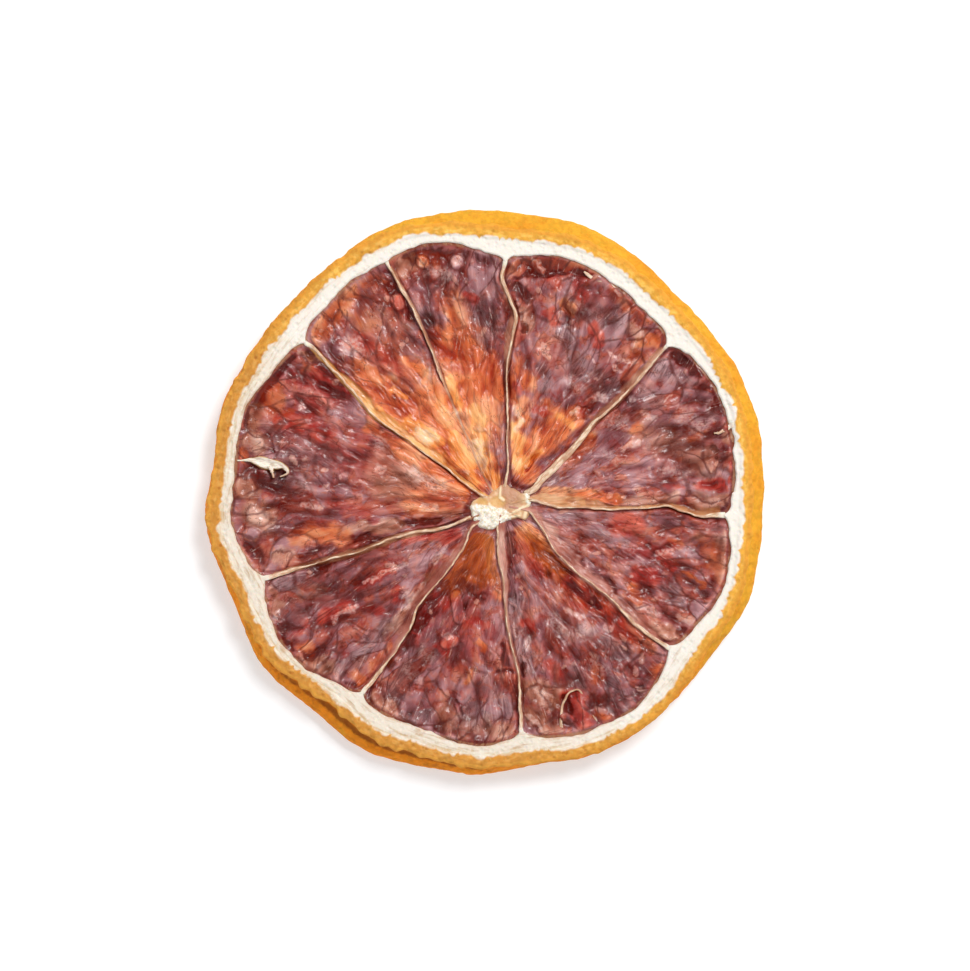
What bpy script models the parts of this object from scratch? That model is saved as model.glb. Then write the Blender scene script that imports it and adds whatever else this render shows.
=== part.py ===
"""A dried blood orange wheel: one slice cut across the fruit and dried until it is stiff.

The slice is one solid. It starts as a plain turned disc, and every point of the disc is then moved to where
the dried fruit has it. The rind dries into an uneven round with a belly below its cut lip. The pith ring, the
core and the membranes stay proud, and the pulp between them shrinks down into rows of wrinkled juice sacs, on
both faces.

Lengths are in millimetres up to the last step, which fills the mesh in metres. Angles are in degrees, from +X
towards +Y. The wheel lies flat on its back face, and its origin is on the floor under its middle.
"""

import math
import random

import bmesh
import bpy
import numpy as np

# Driving dimensions
MM = 0.001
MEAN_RADIUS = 29.8
MIDDLE = (-0.07, -0.12)  # the middle of the slice's overall width and length
THICKNESS = 4.2
CUT_WEDGE = 0.3  # the knife ran out a little: the slice is this much thicker at CUT_WEDGE_SIDE
CUT_WEDGE_SIDE = 240
RIND_THICKNESS = 1.2
RIND_STEP = 0.5  # the step down from the rind to the pith is this wide
PITH_SINK = 0.18  # how far the pith dries below the rind's cut edge
MEMBRANE_SINK = 0.45  # and the membranes and the core
SINK_REACH = 3  # they get there over this far in from the pith
PULP_SINK = 1.0  # and the pulp, where it leaves the membranes
PULP_SAG = 0.35  # and further, in the middle of a segment
SAG_REACH = 5  # the middle is this far from what borders the pulp
BACK_MEMBRANE_SINK = 0.3
BACK_PULP_SINK = 0.85

# Each swell is (where round the wheel, how much in mm, half its spread in degrees).
OUTLINE_SWELLS = (
    (20, 0.4, 10), (43, -0.35, 9), (70, 0.6, 10), (103, 0.55, 11), (140, -0.7, 12), (163, 0.15, 5),
    (173, -0.5, 6), (187, 0.45, 6), (203, -0.3, 7), (219, 0.5, 6), (235, -0.25, 4), (245, 0.85, 8),
    (266, 0.55, 7), (279, -0.2, 5), (293, 0.65, 7), (306, 0.7, 6), (338, 0.8, 7),
)
# The flank is how far the belly of the rind stands out past its cut lip.
FLANK = 0.15
FLANK_SWELLS = (
    (0, 0.7, 14), (30, 0.8, 22), (62, 0.4, 10), (85, 1.5, 14), (236, 1.35, 17), (262, 0.4, 8), (336, 0.7, 12),
)
# The peel is rind and pith together, from the outline to the pulp.
PEEL = 3.0
PEEL_SWELLS = (
    (40, 0.5, 9), (62, 0.8, 12), (86, 1.5, 8), (147, 0.4, 6), (165, -0.6, 9), (178, -0.2, 8), (203, 0.4, 5),
    (242, 1.4, 9), (256, 0.5, 8), (302, -0.5, 10), (324, 0.5, 8), (354, 0.4, 8),
)

# The core is a flattened column of pith, off the wheel's middle.
CORE = (1.65, -1.53)
CORE_HALF_LENGTH = 3.2
CORE_HALF_WIDTH = 1.4
CORE_TILT = 19

# A membrane runs out from the core through these points, each (distance from the core, angle about it). It
# leans, and so shows a face of this width on its counter-clockwise and on its clockwise side.
MEMBRANES = {
    "right": (
        ((3.4, 13), (4.6, 2), (6, -1), (13.2, -1.7), (17.9, 0.1), (21.6, -3.5), (22.8, -2.3), (25.5, -2)), 0.8, 0,
    ),
    "upper_right": (
        ((3.6, 26), (5.1, 33), (7.4, 36), (10.4, 39.5), (13.6, 42), (16.8, 41.6), (24.3, 44)), 0.4, 0.4,
    ),
    "top": (
        ((2.5, 77), (7, 84.5), (14, 87.7), (18.4, 86.2), (20.5, 85), (22.9, 88.2), (24.2, 90), (26.3, 89)), 0.4, 0,
    ),
    "top_left": (((3.3, 122), (7.3, 117), (12.6, 115.7), (17.8, 114.2), (22.5, 114), (28.4, 115)), 0, 0.2),
    "upper_left": (
        ((2.1, 150), (7.2, 144.8), (16.8, 144.7), (19.6, 142.4), (22.9, 141), (26.3, 140)), 0, 0.8,
    ),
    "left": (
        ((4.3, 201), (6.5, 201), (9.6, 197), (12.5, 196.6), (15.7, 198), (19, 197.2), (26, 197)), 0.6, 0,
    ),
    "lower_left": (
        ((3.7, 215), (5.7, 227.7), (8.6, 230.7), (14, 230.3), (16.4, 233.5), (19.7, 234), (24.5, 233.5)), 0, 0.5,
    ),
    "bottom": (((2.6, 263), (4.4, 264.7), (7.5, 271.6), (12.6, 272.8), (17.9, 276), (23.4, 275.3)), 0.3, 0),
    "lower_right": (
        ((3.3, 350), (4, 337), (6, 325.5), (7.9, 319), (10.7, 318.6), (14.2, 320), (20, 318.6), (24, 320)), 1.1, 0,
    ),
}
MEMBRANE_HALF_THICKNESS = 0.16
MEMBRANE_BEND = 1.2  # its corners are rounded over this length
SUNK_MEMBRANE = "top_left"  # this one dries down into the pulp nearer the core than SUNK_INSIDE
SUNK_INSIDE = 15.5
SUNK_SLOPE = 4  # it goes down over this length
SUNK_REACH = 1.5  # and takes this much of the pulp beside it along
# A torn pocket of membrane stands in the bottom right segment: two short folds, written as the membranes are.
FOLDS = (((21.1, 288.5), (23.4, 286.5), (25.4, 285)), ((21.2, 293.5), (23.4, 293.3), (26, 295)))
FOLD_HALF_WIDTH = 0.3
FOLD_RISE = 0.5

CORNER = 0.6  # the corners of a segment are rounded about this sharply
WALL_WIDTH = 0.55  # the pulp falls away from what borders it over this width
TROUGH = 0.3  # and is this much deeper close to it
TROUGH_WIDTH = 0.7

# The juice sacs lie in rows across a segment, long ways out from the core.
SAC_ROW = 2.9
SAC_SPACING = 1.9
SAC_HALF_LENGTH = (2.0, 3.9)
SAC_HALF_WIDTH = (0.75, 1.25)
SAC_RISE = (0.25, 0.6)
SAC_TURN = 16
SAC_TAPER = 0.35  # how much wider a sac is at its outer end, and narrower at its inner one
BACK_SAC_SHARE = 0.8  # the sacs stand out this much less on the back
FIRST_SAC = 4.5
LAST_SAC = 27
FRONT, BACK = 0, 1

# The immature seed: the cut husk of one that never filled, in the left segment against the pith.
SEED = (-22.7, 2.6)
SEED_HALF_LENGTH = 1.75
SEED_HALF_WIDTH = 0.75
SEED_TILT = -8
SEED_RISE = 0.75
SEED_FLANK = 1.6  # how steep its flanks are
SEED_HOLLOW = 0.45  # and how much of its rise the hollow takes away

# The rim from the front lip down to the foot: (height share, share of the flank, further in from outline)
RIM = (
    (1.0, 1.0, 0.42), (0.97, 1.0, 0.14), (0.9, 1.0, 0.0), (0.8, 0.95, 0.04), (0.68, 0.66, 0.1),
    (0.54, 0.25, 0.03), (0.4, 0.0, 0.0), (0.26, 0.0, 0.03), (0.13, 0.05, 0.16), (0.04, 0.1, 0.36),
    (0.0, 0.15, 0.6),
)
RIND_BUMP = 0.09
STEEP = 0.4  # a face whose normal rises less than this stands on the rim

# The turned blank, before it is thinned out to the wanted number of triangles
SPOKES = 600
RINGS = 96
MOST_TRIANGLES = 11400
FLOOR_SLACK = 0.05
SEAM_MERGE = 5e-5  # of a disc of radius 1

COLOURS = {  # (colour, roughness)
    "rind": ((0.78, 0.36, 0.045, 1), 0.5),
    "pith": ((0.88, 0.83, 0.71, 1), 0.85),
    "pulp": ((0.26, 0.045, 0.04, 1), 0.3),
}
RIND, PITH, PULP = range(3)

SPAN = np.arange(0, 34, 0.25)  # distances from the core at which a membrane's angle is kept


def swelling(degrees, base, swells):
    """A value round the wheel: base, with a smooth swell or dip at each place listed."""
    total = np.full(np.shape(degrees), float(base))
    for centre, rise, spread in swells:
        turn = (degrees - centre + 180) % 360 - 180
        total += rise * np.exp(-0.5 * (turn / spread) ** 2)
    return total


def outline(degrees):
    return swelling(degrees, MEAN_RADIUS, OUTLINE_SWELLS)


def flank(degrees):
    return swelling(degrees, FLANK, FLANK_SWELLS)


def height(degrees):
    return THICKNESS + CUT_WEDGE * np.cos(np.radians(degrees - CUT_WEDGE_SIDE))


def eased(share):
    """0 to 1, with a soft start and end."""
    share = np.clip(share, 0, 1)
    return share * share * (3 - 2 * share)


def rounded_route(points):
    """A membrane's angle about the core at each distance in SPAN, with its corners averaged away."""
    distances, angles = np.array(points, float).T
    reach = round(MEMBRANE_BEND / (SPAN[1] - SPAN[0]))
    kernel = np.hanning(2 * reach + 1)
    sharp = np.pad(np.interp(SPAN, distances, angles), reach, mode="edge")
    return np.convolve(sharp, kernel / kernel.sum(), mode="valid")


def beside_route(points, distance, angle):
    """How far each point lies to the counter-clockwise side of a membrane, and how far short of its start."""
    route = rounded_route(points)
    turn = (angle - np.interp(distance, SPAN, route) + 180) % 360 - 180
    slant = distance * np.interp(distance, SPAN, np.gradient(np.radians(route), SPAN))
    beside = np.radians(turn) * distance / np.hypot(1, slant)
    beside = np.where(np.abs(turn) > 90, np.copysign(MEAN_RADIUS, turn), beside)
    return beside, np.maximum(0, points[0][0] - distance)


def least_smoothly(distances, softness):
    """The least of several distances, with the corners between them rounded."""
    distances = np.stack(distances)
    least = distances.min(0)
    return least - softness * np.log(np.exp(-(distances - least) / softness).sum(0))


def about(centre, tilt, x, y):
    """The place of each point along and across an axis through centre."""
    along, across = math.cos(math.radians(tilt)), math.sin(math.radians(tilt))
    dx, dy = x - centre[0], y - centre[1]
    return dx * along + dy * across, dy * along - dx * across


class Plan:
    """The slice at each point (x, y) of its cut face: its distances from the peel, the core and the membranes."""

    def __init__(self, x, y):
        self.x, self.y = x, y
        self.angle = np.degrees(np.arctan2(y, x))
        self.from_outline = outline(self.angle) - np.hypot(x, y)
        self.from_lip = self.from_outline - flank(self.angle)
        self.from_peel = self.from_outline - swelling(self.angle, PEEL, PEEL_SWELLS)
        self.core_distance = np.hypot(x - CORE[0], y - CORE[1])
        self.core_angle = np.degrees(np.arctan2(y - CORE[1], x - CORE[0]))
        along, across = about(CORE, CORE_TILT, x, y)
        size = np.hypot(along / CORE_HALF_LENGTH, across / CORE_HALF_WIDTH)
        self.from_core = (1 - 1 / np.maximum(size, 0.05)) * self.core_distance
        self.measure_membranes()
        inside = [self.ahead, self.behind, self.from_peel, self.from_core]
        self.in_pulp = least_smoothly(inside, CORNER)
        beside_folds = [beside_route(fold, self.core_distance, self.core_angle) for fold in FOLDS]
        self.from_fold = np.min([np.hypot(beside, short) for beside, short in beside_folds], 0)

    def measure_membranes(self):
        """The pulp's distance from the membrane ahead of it and from the one behind it, and its segment."""
        far = np.full(self.x.shape, MEAN_RADIUS)
        self.ahead, self.behind = far.copy(), far.copy()
        self.segment = np.zeros(self.x.shape, int)
        lean = np.sin(np.pi * np.clip(self.core_distance / LAST_SAC, 0, 1)) ** 0.6
        for number, (route, face_ahead, face_behind) in enumerate(MEMBRANES.values()):
            beside, _ = beside_route(route, self.core_distance, self.core_angle)
            past = beside - MEMBRANE_HALF_THICKNESS - face_ahead * lean
            short = -beside - MEMBRANE_HALF_THICKNESS - face_behind * lean
            nearest = (beside >= 0) & (past < self.behind)
            self.behind = np.where(nearest, past, self.behind)
            self.segment = np.where(nearest, number, self.segment)
            self.ahead = np.where((beside < 0) & (short < self.ahead), short, self.ahead)


def juice_sacs(segment, side):
    """The sacs that show on one face of a segment: (x, y, tilt, half length, half width, rise) of each."""
    chance = random.Random(10 * segment + side)
    names = list(MEMBRANES)
    start, end = (rounded_route(MEMBRANES[names[n % len(names)]][0]) for n in (segment, segment + 1))
    sacs = []
    for row in range(int((LAST_SAC - FIRST_SAC) / SAC_ROW) + 1):
        distance = FIRST_SAC + SAC_ROW * row
        low, high = np.interp(distance, SPAN, start), np.interp(distance, SPAN, end)
        width = math.radians((high - low) % 360) * distance
        count = max(1, round(width / SAC_SPACING))
        for place in range(count):
            share = (place + 0.5 + chance.uniform(-0.35, 0.35)) / count
            angle = low + (high - low) % 360 * share
            out = distance + chance.uniform(-0.5, 0.5) * SAC_ROW
            sacs.append((
                CORE[0] + out * math.cos(math.radians(angle)),
                CORE[1] + out * math.sin(math.radians(angle)),
                angle + chance.uniform(-SAC_TURN, SAC_TURN),
                chance.uniform(*SAC_HALF_LENGTH),
                chance.uniform(*SAC_HALF_WIDTH),
                chance.uniform(*SAC_RISE),
            ))
    return sacs


def sac_relief(plan, side):
    """How far the juice sacs stand up: domes that taper towards the core, the highest one showing."""
    relief = np.zeros(plan.x.shape)
    for segment in range(len(MEMBRANES)):
        here = (plan.segment == segment) & (plan.in_pulp > 0)
        x, y = plan.x[here], plan.y[here]
        highest = np.zeros(x.shape)
        for sac_x, sac_y, tilt, half_length, half_width, rise in juice_sacs(segment, side):
            along, across = about((sac_x, sac_y), tilt, x, y)
            taper = 1 + SAC_TAPER * np.clip(along / half_length, -1, 1)
            size = (along / half_length) ** 2 + (across / (half_width * taper)) ** 2
            highest = np.maximum(highest, rise * np.sqrt(np.clip(1 - size, 0, 1)))
        relief[here] = highest
    return relief


def seed_relief(plan):
    """The husk of the immature seed: a raised oval, hollow along its middle."""
    along, across = about(SEED, SEED_TILT, plan.x, plan.y)
    size = np.hypot(along / SEED_HALF_LENGTH, across / SEED_HALF_WIDTH)
    return SEED_RISE * eased(SEED_FLANK * (1 - size)) * (1 - SEED_HOLLOW * eased(1 - 2.2 * size))


def front_face(plan):
    """The height of the front face: rind and pith, then membranes and core, then the pulp below them."""
    top = height(plan.angle) - PITH_SINK * eased((plan.from_lip - RIND_THICKNESS + 0.2) / RIND_STEP)
    sink = (MEMBRANE_SINK - PITH_SINK) * eased(plan.from_peel / SINK_REACH)
    beside, _ = beside_route(MEMBRANES[SUNK_MEMBRANE][0], plan.core_distance, plan.core_angle)
    near = eased(SUNK_REACH - np.abs(beside)) * eased((SUNK_INSIDE - plan.core_distance) / SUNK_SLOPE)
    near *= eased(plan.from_core / SUNK_REACH)
    drop = PULP_SINK - MEMBRANE_SINK
    frame = top - sink - near * drop
    depth = drop * (1 - near) * eased(plan.in_pulp / WALL_WIDTH)
    depth += PULP_SAG * eased(plan.in_pulp / SAG_REACH) + TROUGH * (1 - near) * trough(plan)
    relief = sac_relief(plan, FRONT) * eased(plan.in_pulp / WALL_WIDTH)
    fold = FOLD_RISE * eased(1 - plan.from_fold / (2 * FOLD_HALF_WIDTH))
    return frame - depth + np.maximum(relief, np.maximum(fold, seed_relief(plan)) * (plan.in_pulp > -0.2))


def back_face(plan):
    """The height of the back face: rind and pith flat on the floor, and the rest drawn up from it."""
    frame = BACK_MEMBRANE_SINK * eased(plan.from_peel / SINK_REACH)
    depth = (BACK_PULP_SINK - BACK_MEMBRANE_SINK) * eased(plan.in_pulp / WALL_WIDTH) + TROUGH * trough(plan)
    relief = sac_relief(plan, BACK) * eased(plan.in_pulp / WALL_WIDTH)
    return frame + depth + PULP_SAG * eased(plan.in_pulp / SAG_REACH) - BACK_SAC_SHARE * relief


def trough(plan):
    inside = np.clip(plan.in_pulp, 0, None)
    return eased(inside / 0.3) * np.exp(-inside / TROUGH_WIDTH)


def turned_blank():
    """A disc of radius 1 and height 1, turned from its section: over the front, down the rim and back."""
    shares = np.linspace(0, 1, RINGS + 1)[:-1]
    section = [(share, 1.0) for share in shares]
    section += [(1.0, row[0]) for row in RIM]
    section += [(share, 0.0) for share in shares[::-1]]
    blank = bmesh.new()
    corners = [blank.verts.new((radius, 0, level)) for radius, level in section]
    edges = [blank.edges.new(pair) for pair in zip(corners, corners[1:])]
    bmesh.ops.spin(
        blank,
        geom=corners + edges,
        axis=(0, 0, 1),
        cent=(0, 0, 0),
        angle=math.tau,
        steps=SPOKES,
        use_duplicate=False,
    )
    bmesh.ops.remove_doubles(blank, verts=blank.verts, dist=SEAM_MERGE)
    bmesh.ops.recalc_face_normals(blank, faces=blank.faces)
    return blank


def dried(points):
    """Where each point of the blank lies on the dried slice."""
    radius, level = np.hypot(points[:, 0], points[:, 1]), points[:, 2]
    angle = np.degrees(np.arctan2(points[:, 1], points[:, 0]))
    shares, flank_shares, insets = np.array(RIM[::-1]).T
    edge = outline(angle) - np.interp(level, shares, insets)
    edge -= flank(angle) * np.interp(level, shares, flank_shares)
    on_rim = (radius > 1 - 1e-4) & (level > 0) & (level < 1)
    turn = np.radians(angle)
    edge += on_rim * RIND_BUMP * np.sin(turn * 61 + level * 9) * np.sin(turn * 37 - level * 14)
    x = CORE[0] + radius * (edge * np.cos(np.radians(angle)) - CORE[0])
    y = CORE[1] + radius * (edge * np.sin(np.radians(angle)) - CORE[1])
    z = level * height(angle)
    for face, shape in ((1.0, front_face), (0.0, back_face)):
        flat = ~on_rim & (level == face)
        z[flat] = shape(Plan(x[flat], y[flat]))
    return np.column_stack((x - MIDDLE[0], y - MIDDLE[1], z))


def finish_of(centres, normals):
    """Rind, pith or pulp, for each face."""
    plan = Plan(centres[:, 0] + MIDDLE[0], centres[:, 1] + MIDDLE[1])
    finish = np.where(plan.in_pulp > 0.05, PULP, PITH)
    on_rim = (plan.from_lip < RIND_THICKNESS) | (np.abs(normals[:, 2]) < STEEP) & (plan.from_peel < -1)
    return np.where(on_rim, RIND, finish)


def material(name):
    colour, roughness = COLOURS[name]
    made = bpy.data.materials.new(name)
    made.use_nodes = True
    shader = made.node_tree.nodes["Principled BSDF"]
    shader.inputs["Base Color"].default_value = colour
    shader.inputs["Roughness"].default_value = roughness
    shader.inputs["Metallic"].default_value = 0
    made.diffuse_color = colour
    return made


def array_of(collection, attribute, width):
    values = np.empty(len(collection) * width)
    collection.foreach_get(attribute, values)
    return values.reshape(-1, width)


def rest_flat(mesh):
    """Puts the foot of the rind and the pith exactly on the floor, which thinning leaves a hair uneven."""
    points = array_of(mesh.vertices, "co", 3)
    points[points[:, 2] < FLOOR_SLACK * MM, 2] = 0
    mesh.vertices.foreach_set("co", points.ravel())
    mesh.update()


def orange_wheel():
    """The whole slice: blank, dried shape, finishes, and thinning that keeps triangles where the relief is."""
    blank = turned_blank()
    mesh = bpy.data.meshes.new("orange_wheel")
    blank.to_mesh(mesh)
    blank.free()
    mesh.vertices.foreach_set("co", (dried(array_of(mesh.vertices, "co", 3)) * MM).ravel())
    mesh.update()
    for name in COLOURS:
        mesh.materials.append(material(name))
    finish = finish_of(array_of(mesh.polygons, "center", 3) / MM, array_of(mesh.polygons, "normal", 3))
    mesh.polygons.foreach_set("material_index", finish.astype(np.int32))
    wheel = bpy.data.objects.new("orange_wheel", mesh)
    bpy.context.scene.collection.objects.link(wheel)
    mesh.calc_loop_triangles()
    thin = wheel.modifiers.new("thin_out", "DECIMATE")
    thin.ratio = MOST_TRIANGLES / len(mesh.loop_triangles)
    thin.use_collapse_triangulate = True
    wheel.data = bpy.data.meshes.new_from_object(wheel.evaluated_get(bpy.context.evaluated_depsgraph_get()))
    wheel.modifiers.clear()
    rest_flat(wheel.data)
    wheel.data.shade_smooth()
    return wheel


for old in list(bpy.data.objects):
    bpy.data.objects.remove(old)
orange_wheel()
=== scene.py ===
import math
import random

import bpy
import numpy as np
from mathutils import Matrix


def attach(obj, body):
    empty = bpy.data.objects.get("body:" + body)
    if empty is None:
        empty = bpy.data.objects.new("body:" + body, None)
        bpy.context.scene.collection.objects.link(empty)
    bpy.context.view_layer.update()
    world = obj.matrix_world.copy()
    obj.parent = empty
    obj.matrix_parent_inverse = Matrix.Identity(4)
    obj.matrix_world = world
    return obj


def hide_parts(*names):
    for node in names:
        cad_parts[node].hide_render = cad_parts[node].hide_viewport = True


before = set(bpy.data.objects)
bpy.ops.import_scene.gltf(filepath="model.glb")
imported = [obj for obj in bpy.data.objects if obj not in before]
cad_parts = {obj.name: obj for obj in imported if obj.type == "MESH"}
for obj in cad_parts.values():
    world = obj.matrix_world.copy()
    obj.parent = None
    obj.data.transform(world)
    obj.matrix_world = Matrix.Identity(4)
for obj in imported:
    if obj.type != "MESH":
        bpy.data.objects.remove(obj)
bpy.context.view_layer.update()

# RIND AND PITH. The outer ring of the cut: a thin golden rind, dotted with cut oil glands, and the spongy
# cream pith inside it. It dried into an uneven round, and its belly stands out below the cut lip on two
# sides. It is a torus whose points are moved to the ring's section. Sizes are in mm, angles in degrees.
MM = 0.001
MIDDLE = (-0.07, -0.12)  # the frame's origin in the plan of the slice
MEAN_RADIUS = 29.8
THICKNESS = 4.2
CUT_WEDGE, CUT_WEDGE_SIDE = 0.3, 240  # how much higher the cut stands, and on which side
RIND_THICKNESS = 1.15
PITH_SINK = 0.18  # how far the pith dried down below the rind
OUTLINE_SWELLS = (  # (where round the wheel, how much, half its spread)
    (20, 0.4, 10), (43, -0.35, 9), (70, 0.6, 10), (103, 0.55, 11), (140, -0.7, 12), (163, 0.15, 5),
    (173, -0.5, 6), (187, 0.45, 6), (203, -0.3, 7), (219, 0.5, 6), (235, -0.25, 4), (245, 0.85, 8),
    (266, 0.55, 7), (279, -0.2, 5), (293, 0.65, 7), (306, 0.7, 6), (338, 0.8, 7),
)
FLANK = 0.15  # how far the lip stands in from the belly, and where it stands in further
FLANK_SWELLS = (
    (0, 0.7, 14), (30, 0.8, 22), (62, 0.4, 10), (85, 1.5, 14), (236, 1.35, 17), (262, 0.4, 8),
    (336, 0.7, 12),
)
PEEL = 3.0  # how wide rind and pith are together, and where they are wider or narrower
PEEL_SWELLS = (
    (40, 0.5, 9), (62, 0.8, 12), (86, 1.5, 8), (147, 0.4, 6), (165, -0.6, 9), (178, -0.2, 8),
    (203, 0.4, 5), (242, 1.4, 9), (256, 0.5, 8), (302, -0.5, 10), (324, 0.5, 8), (354, 0.4, 8),
)
PITH_JOINTS = (  # where each membrane joins the pith, and how far the pith follows it ahead and behind
    (354.7, 0.9, 1.1), (39, 0.9, 1.2), (85.2, 0.9, 0.9), (113.2, 0.3, 0.3), (140.2, 1.2, 1.0),
    (201.3, 1.0, 1.2), (238.5, 1.0, 1.1), (278.5, 1.0, 1.0), (319.7, 1.1, 0.9),
)
JOINT_RADIUS = 26  # how far out the membranes join the pith
JOINT_FADE = 0.75  # how fast the pith draws back from them
# The outer wall from the lip to the foot: (share of the height, of the flank, further in from the outline)
WALL = (
    (1.0, 1.0, 0.34), (0.97, 1.0, 0.12), (0.92, 1.0, 0.0), (0.84, 0.98, 0.04), (0.75, 0.86, 0.16),
    (0.66, 0.62, 0.12), (0.54, 0.25, 0.03), (0.4, 0.0, 0.0), (0.26, 0.0, 0.03), (0.13, 0.05, 0.16),
    (0.04, 0.1, 0.36), (0.0, 0.15, 0.6),
)
# Where round the ring's section, as a share of a turn from the belly, each part of the surface starts
LIP_AT, PULP_EDGE_AT, FOOT_INNER_AT, FOOT_OUTER_AT = 0.12, 0.55, 0.62, 0.84
WALL_SHARE_ABOVE_BELLY = 0.5  # of the steps down the wall
RING_STEPS, SECTION_STEPS = 256, 24  # the torus as it is added
RING_CUTS = 3  # cuts in each of its edges
SECTION_RADIUS = 8
LIP_OVERLAP = 0.05  # how far the cut face starts in from the lip
BACK_RISE = 0.22  # how much higher the back of the ring ends at the pulp
WALL_OUT = 0.26  # makes up for the dents, which only go in
# Painted shade: where a dark line is painted in the groove below the lip
UNDER_LIP_SHADE = ((236, 1, 20), (262, 0.5, 8), (85, 0.35, 12))  # where a dark line shows below the lip
GRAIN_TILE = 128  # steps of noise before it repeats


def eased(share):
    """0 to 1, with a soft start and end."""
    share = np.clip(share, 0, 1)
    return share * share * (3 - 2 * share)


def grain(x, y, size, seed):
    """Soft noise from 0 to 1, with lumps about size across."""
    lattice = np.random.default_rng(seed).random((GRAIN_TILE, GRAIN_TILE))
    column, row = np.asarray(x) / size, np.asarray(y) / size
    left, low = np.floor(column).astype(int), np.floor(row).astype(int)
    across, up = eased(column - left), eased(row - low)
    left, low = left % GRAIN_TILE, low % GRAIN_TILE
    right, high = (left + 1) % GRAIN_TILE, (low + 1) % GRAIN_TILE
    below = lattice[low, left] * (1 - across) + lattice[low, right] * across
    above = lattice[high, left] * (1 - across) + lattice[high, right] * across
    return below * (1 - up) + above * up


def ripple(x, y, size, seed, amount):
    """The same noise about 0, amount from its lowest to its highest."""
    return amount * (grain(x, y, size, seed) - 0.5)


def hump(off, spread):
    """1 in the middle, fading to either side."""
    return np.exp(-0.5 * (off / spread) ** 2)


def turn_from(centre, degrees):
    """The turn from centre to each angle, the short way round."""
    return (degrees - centre + 180) % 360 - 180


def angle_of(x, y):
    return np.degrees(np.arctan2(y, x))


def swelling(degrees, base, swells):
    """A measure round the wheel, and where it is more or less."""
    total = np.full(np.shape(degrees), float(base))
    for centre, rise, spread in swells:
        total += rise * hump(turn_from(centre, degrees), spread)
    return total


def outline(degrees):
    return swelling(degrees, MEAN_RADIUS, OUTLINE_SWELLS)


def flank(degrees):
    return swelling(degrees, FLANK, FLANK_SWELLS)


def pulp_edge(degrees):
    """How far from the wheel's centre the pith ends."""
    return outline(degrees) - swelling(degrees, PEEL, PEEL_SWELLS) - corner(degrees)


def corner(degrees):
    """How far the pith runs in beside the membranes that join it."""
    reach = np.zeros(np.shape(degrees))
    for joint, ahead, behind in PITH_JOINTS:
        along = np.radians(turn_from(joint, degrees)) * JOINT_RADIUS
        reach += np.where(along > 0, ahead, behind) * np.exp(-np.abs(along) / JOINT_FADE)
    return reach


def near_joints(degrees, reach):
    """1 where a membrane joins the pith, fading over this reach to either side."""
    along = [np.radians(turn_from(joint, degrees)) * JOINT_RADIUS for joint, _, _ in PITH_JOINTS]
    return np.exp(-((np.abs(along).min(0) / reach) ** 2))


def height(degrees):
    """How high the cut stands: the knife went through a little askew."""
    return THICKNESS + CUT_WEDGE * np.cos(np.radians(degrees - CUT_WEDGE_SIDE))


def points_of(piece):
    """The piece's points, in metres, a row to each."""
    points = np.empty(len(piece.data.vertices) * 3)
    piece.data.vertices.foreach_get("co", points)
    return points.reshape(-1, 3)


def place(piece, x, y, z):
    """Puts the piece's points at these places in the plan, in mm, and its object at the origin."""
    points = np.column_stack((x - MIDDLE[0], y - MIDDLE[1], z)) * MM
    piece.location = (0, 0, 0)
    piece.data.vertices.foreach_set("co", points.ravel())
    piece.data.update()


def mark(piece, name, values):
    """Stores a number, or a vector, at each point for the piece's finish to read."""
    values = np.asarray(values, float)
    kind = "FLOAT" if values.ndim == 1 else "FLOAT_VECTOR"
    layer = piece.data.attributes.new(name, kind, "POINT")
    layer.data.foreach_set("value" if kind == "FLOAT" else "vector", values.ravel())


def select_only(piece=None):
    bpy.ops.object.select_all(action="DESELECT")
    bpy.context.view_layer.objects.active = piece
    if piece:
        piece.select_set(True)


def new_piece(name):
    """Names the primitive that was just added."""
    piece = bpy.context.object
    piece.name = piece.data.name = name
    return piece


def hand_in(piece, finish):
    """Gives the piece its finish, smooths it and sets it on the CAD's body in place of the plain solid."""
    piece.data.materials.append(finish.material)
    select_only(piece)
    bpy.ops.object.mode_set(mode="EDIT")
    bpy.ops.mesh.select_all(action="SELECT")
    bpy.ops.mesh.normals_make_consistent(inside=False)
    bpy.ops.object.mode_set(mode="OBJECT")
    bpy.ops.object.shade_smooth()
    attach(piece, "root")
    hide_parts("orange_wheel")


class Wire:
    """A shader socket that takes part in sums. Each operator adds the Math node that it stands for."""

    def __init__(self, finish, socket):
        self.finish, self.socket = finish, socket

    def math(self, operation, *others):
        return self.finish.node("ShaderNodeMath", {"operation": operation}, [self, *others])

    def __add__(self, other):
        return self.math("ADD", other)

    def __sub__(self, other):
        return self.math("SUBTRACT", other)

    def __rsub__(self, other):
        return self.finish.node("ShaderNodeMath", {"operation": "SUBTRACT"}, [other, self])

    def __mul__(self, other):
        return self.math("MULTIPLY", other)

    __radd__, __rmul__ = __add__, __mul__

    def between(self, low, high):
        """0 below low and 1 above high, with a soft step from one to the other."""
        settings = {"interpolation_type": "SMOOTHSTEP"}
        ends = {"Value": self, "From Min": low, "From Max": high}
        return self.finish.node("ShaderNodeMapRange", settings, ends)

    def most(self, other):
        return self.math("MAXIMUM", other)


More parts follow.
